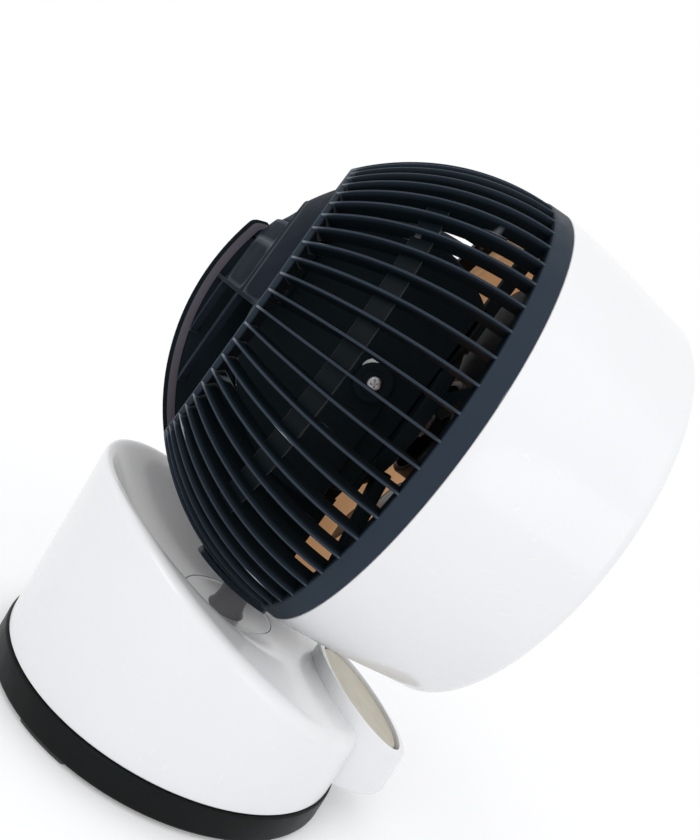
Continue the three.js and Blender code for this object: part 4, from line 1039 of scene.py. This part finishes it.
def make_neck():
    """The turntable, whose top follows the bowl, the post, and the yoke with its two ears."""
    build = Builder()
    spigot_r, socket_r, socket_low = 8, 13, 32.1
    dish = [(TABLE_R * i / 10, bowl_height(TABLE_R * i / 10) - TABLE_SUNK) for i in range(9, -1, -1)]
    dish[-1] = (0.01, bowl_height(0) - TABLE_SUNK)
    lathe(build, rounded([
        (0.01, 36), (spigot_r, 36), (spigot_r, socket_low, 0.2), (socket_r, socket_low, 0.6),
        (socket_r, TABLE_FLOOR, 0.4), (TABLE_R, TABLE_FLOOR, 0.5),
        (TABLE_R, bowl_height(TABLE_R) - TABLE_SUNK, 0.3), *dish], 5), 160, turn_z)
    table = build.make("neck_table", WHITE, "turret", BASE)
    build = Builder()
    pivot_z = PIVOT.z / MM
    low = pivot_z - YOKE_DROP
    bar_top = low + YOKE_BAR
    wide, deep = 20, 15.4

    def squared(value):
        return copysign(abs(value) ** 0.9, value)

    levels = [(27, 22, 60.2), (24, 19, 61.4), (22, 17.2, 63), (20.6, 16, 65.4), (wide, deep, 68),
              (wide, deep, 100), (wide, deep, bar_top - YOKE_BAR / 2)]
    build.rings([[(width / 2 * squared(cos(a)), depth / 2 * squared(sin(a)), z) for a in around(72)]
                 for width, depth, z in levels])
    # The post's grey is painted shade, standing in for the shadow under the head.
    post = build.make("neck_post", NECK_SHADE_GREY, "turret", BASE)
    build = Builder()
    half, bevel = 8, 3.2
    face = rounded([(-YOKE_OUTER, low + bevel, 1), (bevel - YOKE_OUTER, low, 1.5),
                    (YOKE_OUTER - bevel, low, 1.5), (YOKE_OUTER, low + bevel, 1),
                    (YOKE_OUTER, bar_top, 0.4), (-YOKE_OUTER, bar_top, 0.4)], 4)
    build.plate(face, lambda a, b, t: (a, t - half + PIVOT_LEAN, b), 2 * half, 0.6)
    ear_r, eye_r = 60.5, 10.0
    ear = [polar(ear_r, a) for a in spread(atan2(-chord(ear_r, half), -half), asin(half / ear_r), 48)]
    ear[0] = (*ear[0], 1.5)
    ear[-1] = (*ear[-1], 2.5)
    ear += [polar(eye_r, radians(90 + 3.75 * i)) for i in range(25)]
    ear = rounded(ear, 4)
    for side in (-1, 1):
        build.plate(ear, lambda a, b, t, side=side: (side * (YOKE_INNER + t), PIVOT_LEAN + a, pivot_z + b),
                    YOKE_OUTER - YOKE_INNER, 0.7)
    neck = build.make("yoke_moulding", SHADED_INNER, "turret", BASE)
    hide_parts("neck_yoke")


# -------- base, dial and feet

def top_height(r, angle):
    """The base's top: an oblique plane hollowed by the bowl that the head swings over, with a soft
    edge where they meet."""
    height, slope, soft = 78.6, 0.365, 9
    plane = height + slope * r * sin(angle)
    bowl = bowl_height(r)
    h = max(soft - abs(plane - bowl), 0) / soft
    return min(plane, bowl) - h * h * soft / 4


POD_TILT = Matrix.Rotation(POD_SLOPE, 4, "X")
POD_PLACE = BASE @ (Matrix.Translation(Vector((0, POD_Y, POD_FACE_Z)) * MM) @ POD_TILT)


def apply_boolean(obj, tool, operation):
    modifier = obj.modifiers.new(operation.lower(), "BOOLEAN")
    modifier.operation = operation
    modifier.object = tool
    modifier.solver = "EXACT"
    graph = bpy.context.evaluated_depsgraph_get()
    mesh = bpy.data.meshes.new_from_object(obj.evaluated_get(graph))
    obj.modifiers.clear()
    obj.data = mesh
    bpy.data.objects.remove(tool)


def add_drum(build):
    """The base shell without its pod, as rings from the recess in the top down to the open foot."""
    segments, wall, edge = 200, 2.6, 6
    recess, lip = TABLE_R + SEAT_GAP, 0.8
    floor, ceiling = 14.9, 26.9
    rows = [(0.01, lambda a: TABLE_FLOOR - 0.3),
            (recess - 0.6, lambda a: TABLE_FLOOR - 0.3),
            (recess, lambda a: TABLE_FLOOR + 0.3),
            (recess, lambda a: top_height(recess + lip, a) - 0.4),
            (recess + 0.15, lambda a: top_height(recess + lip, a) - 0.15),
            (recess + lip, lambda a: top_height(recess + lip, a))]
    flat = SHELL_R - edge
    for i in range(1, 33):
        r = recess + lip + (flat - recess - lip) * i / 32
        rows.append((r, lambda a, r=r: top_height(r, a)))
    for turn in quarter(12)[1:]:
        r = flat + edge * sin(turn)
        rows.append((r, lambda a, r=r, drop=edge * (1 - cos(turn)): top_height(r, a) - drop))
    rows += [(SHELL_R, lambda a: floor + 0.6), (SHELL_R - 0.6, lambda a: floor),
             (SHELL_R - wall, lambda a: floor), (SHELL_R - wall, lambda a: ceiling),
             (0.01, lambda a: ceiling)]
    build.rings([[turn_z(r, height(a), a) for a in around(segments)] for r, height in rows])


def add_pod(build, well, depth):
    """The pod: a vertical collar with a sloping rounded rim, and the round well inside it."""
    n, slope = 144, tan(POD_SLOPE)
    foot, edge, lip, corner = 1.6, 0.9, 0.5, 0.6

    def collar(radius, height):
        return [(*polar(radius, a, 0, POD_Y), height(radius * sin(a))) for a in around(n)]

    def bore(radius, drop):
        points = [POD_TILT @ Vector((*polar(radius, a), -drop)) for a in around(n)]
        return [(p.x, POD_Y + p.y, POD_FACE_Z + p.z) for p in points]

    rings = [collar(0.01, lambda v: POD_FLOOR_Z), collar(POD_R - 3, lambda v: POD_FLOOR_Z)]
    for a in quarter(4):
        rings.append(collar(POD_R - foot * (1 - sin(a)), lambda v, a=a: POD_FLOOR_Z + foot * (1 - cos(a))))
    rings.append(collar(POD_R, lambda v: POD_FACE_Z + v * slope - edge - 0.4))
    for a in quarter(6):
        rings.append(collar(POD_R - edge * (1 - cos(a)),
                            lambda v, a=a: POD_FACE_Z + v * slope - edge * (1 - sin(a))))
    for a in quarter(5):
        rings.append(bore(well + lip * (1 - sin(a)), lip * (1 - cos(a))))
    rings += [bore(well, depth - corner), bore(well - corner, depth), bore(0.01, depth)]
    build.rings(rings)


def make_base():
    build = Builder()
    add_drum(build)
    drum = piece("base_moulding", build, BASE)
    well, depth = POD_R - POD_RIM, 9 + 0.9 + 0.3
    build = Builder()
    lathe(build, [(0.01, -depth), (well + 0.6, -depth), (well + 0.6, 60), (0.01, 60)], 128, turn_z)
    apply_boolean(drum, piece("cutter", build, POD_PLACE), "DIFFERENCE")
    build = Builder()
    add_pod(build, well, depth)
    apply_boolean(drum, piece("pod", build, BASE), "UNION")
    finish_piece(drum, WHITE, "base", 30)
    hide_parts("base_shell")

    build = Builder()
    plate, rim, low, high = SHELL_R + 1.2, 6, 1.6, 14.6
    lathe(build, rounded([(0.01, low), (plate, low, 1.6), (plate, high, 0.9), (plate - rim, high, 0.4),
                          (plate - rim, low + 3, 1), (0.01, low + 3)], 5), 240, turn_z)
    pan = build.make("plate_moulding", BLACK, "base", BASE, 30)
    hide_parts("base_plate")


def make_dial():
    """The dial: a slightly dished face with a rounded edge, and a finely knurled side."""
    build = Builder()
    r = POD_R - POD_RIM - 1.4
    top, low, dish, wall = -1.6, -9.9, 0.75, 2
    knurl_deep, knurl_count = 0.16, 80
    outline = [(0.01, top - dish)]
    for i in range(1, 21):
        s = i / 20
        outline.append(((r - 1.7) * s, top - dish * (1 - s ** 2.4)))
    outline += [(r - 1.25, top - 0.02), (r - 0.85, top - 0.12), (r - 0.45, top - 0.35),
                (r - 0.15, top - 0.75), (r, top - 1.3), (r, low + 0.5), (r - 0.5, low), (r - wall, low),
                (r - wall, top - wall), (0.01, top - wall)]
    rings = []
    for radius, height in outline:
        knurl = knurl_deep if radius >= r - knurl_deep else 0
        rings.append([turn_z(radius - knurl * (0.5 + 0.5 * cos(a * knurl_count)), height, a)
                      for a in around(240)])
    build.rings(rings)
    dial = build.make("dial_cap", DIAL, "dial", POD_PLACE, 30)
    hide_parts("control_dial")


def make_feet():
    """Rubber pads that follow the base ring's lower edge."""
    outer, inner, half_angle, thick, steps = 91.0, 80.0, 9.5, 3.2, 12
    for index, middle in enumerate((34, 146, 214, 326)):
        ring = []
        for radius, turn in ((outer, 1), (inner, -1)):
            for i in range(steps + 1):
                away = turn * half_angle * (i - steps / 2) / (steps / 2)
                ring.append(polar(radius, radians(middle + away)))
        for k in (0, steps, steps + 1, 2 * steps + 1):
            ring[k] = (*ring[k], 2.0)
        build = Builder()
        build.plate(rounded(ring, 4), lambda a, b, t: (a, b, t), thick, 0.5)
        pad = build.make(f"foot_pad_{index + 1}", RUBBER, "base", BASE)
        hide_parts(f"foot_{index + 1}")


def dress_nodes():
    """Materials for the nodes whose own shape stays."""
    wanted = {"power_inlet": BLACK, "dial_encoder": BLACK, "swivel_clip": STEEL, "motor_shaft": STEEL}
    for name, material in wanted.items():
        for slot in bpy.data.objects[name].material_slots:
            slot.material = material


set_camera()
set_world(0.9)
area_light("key", (-0.75, -0.6, 1.0), (0, 0, 0.17), 0.9, 0.4)
area_light("fill", (-0.9, 0.55, 0.95), (0, 0, 0.1), 0.7, 2.4)
area_light("low", (-0.8, -0.6, 0.15), (0, 0, 0.14), 0.6, 0.7)
set_floor()
make_grille()
make_cap()
make_chute()
make_shoe()
make_ring()
make_duct()
make_front()
make_motor()
make_pivot(1)
make_pivot(-1)
make_impeller()
make_neck()
make_base()
make_dial()
make_feet()
dress_nodes()

bpy.context.scene.view_settings.view_transform = "Standard"
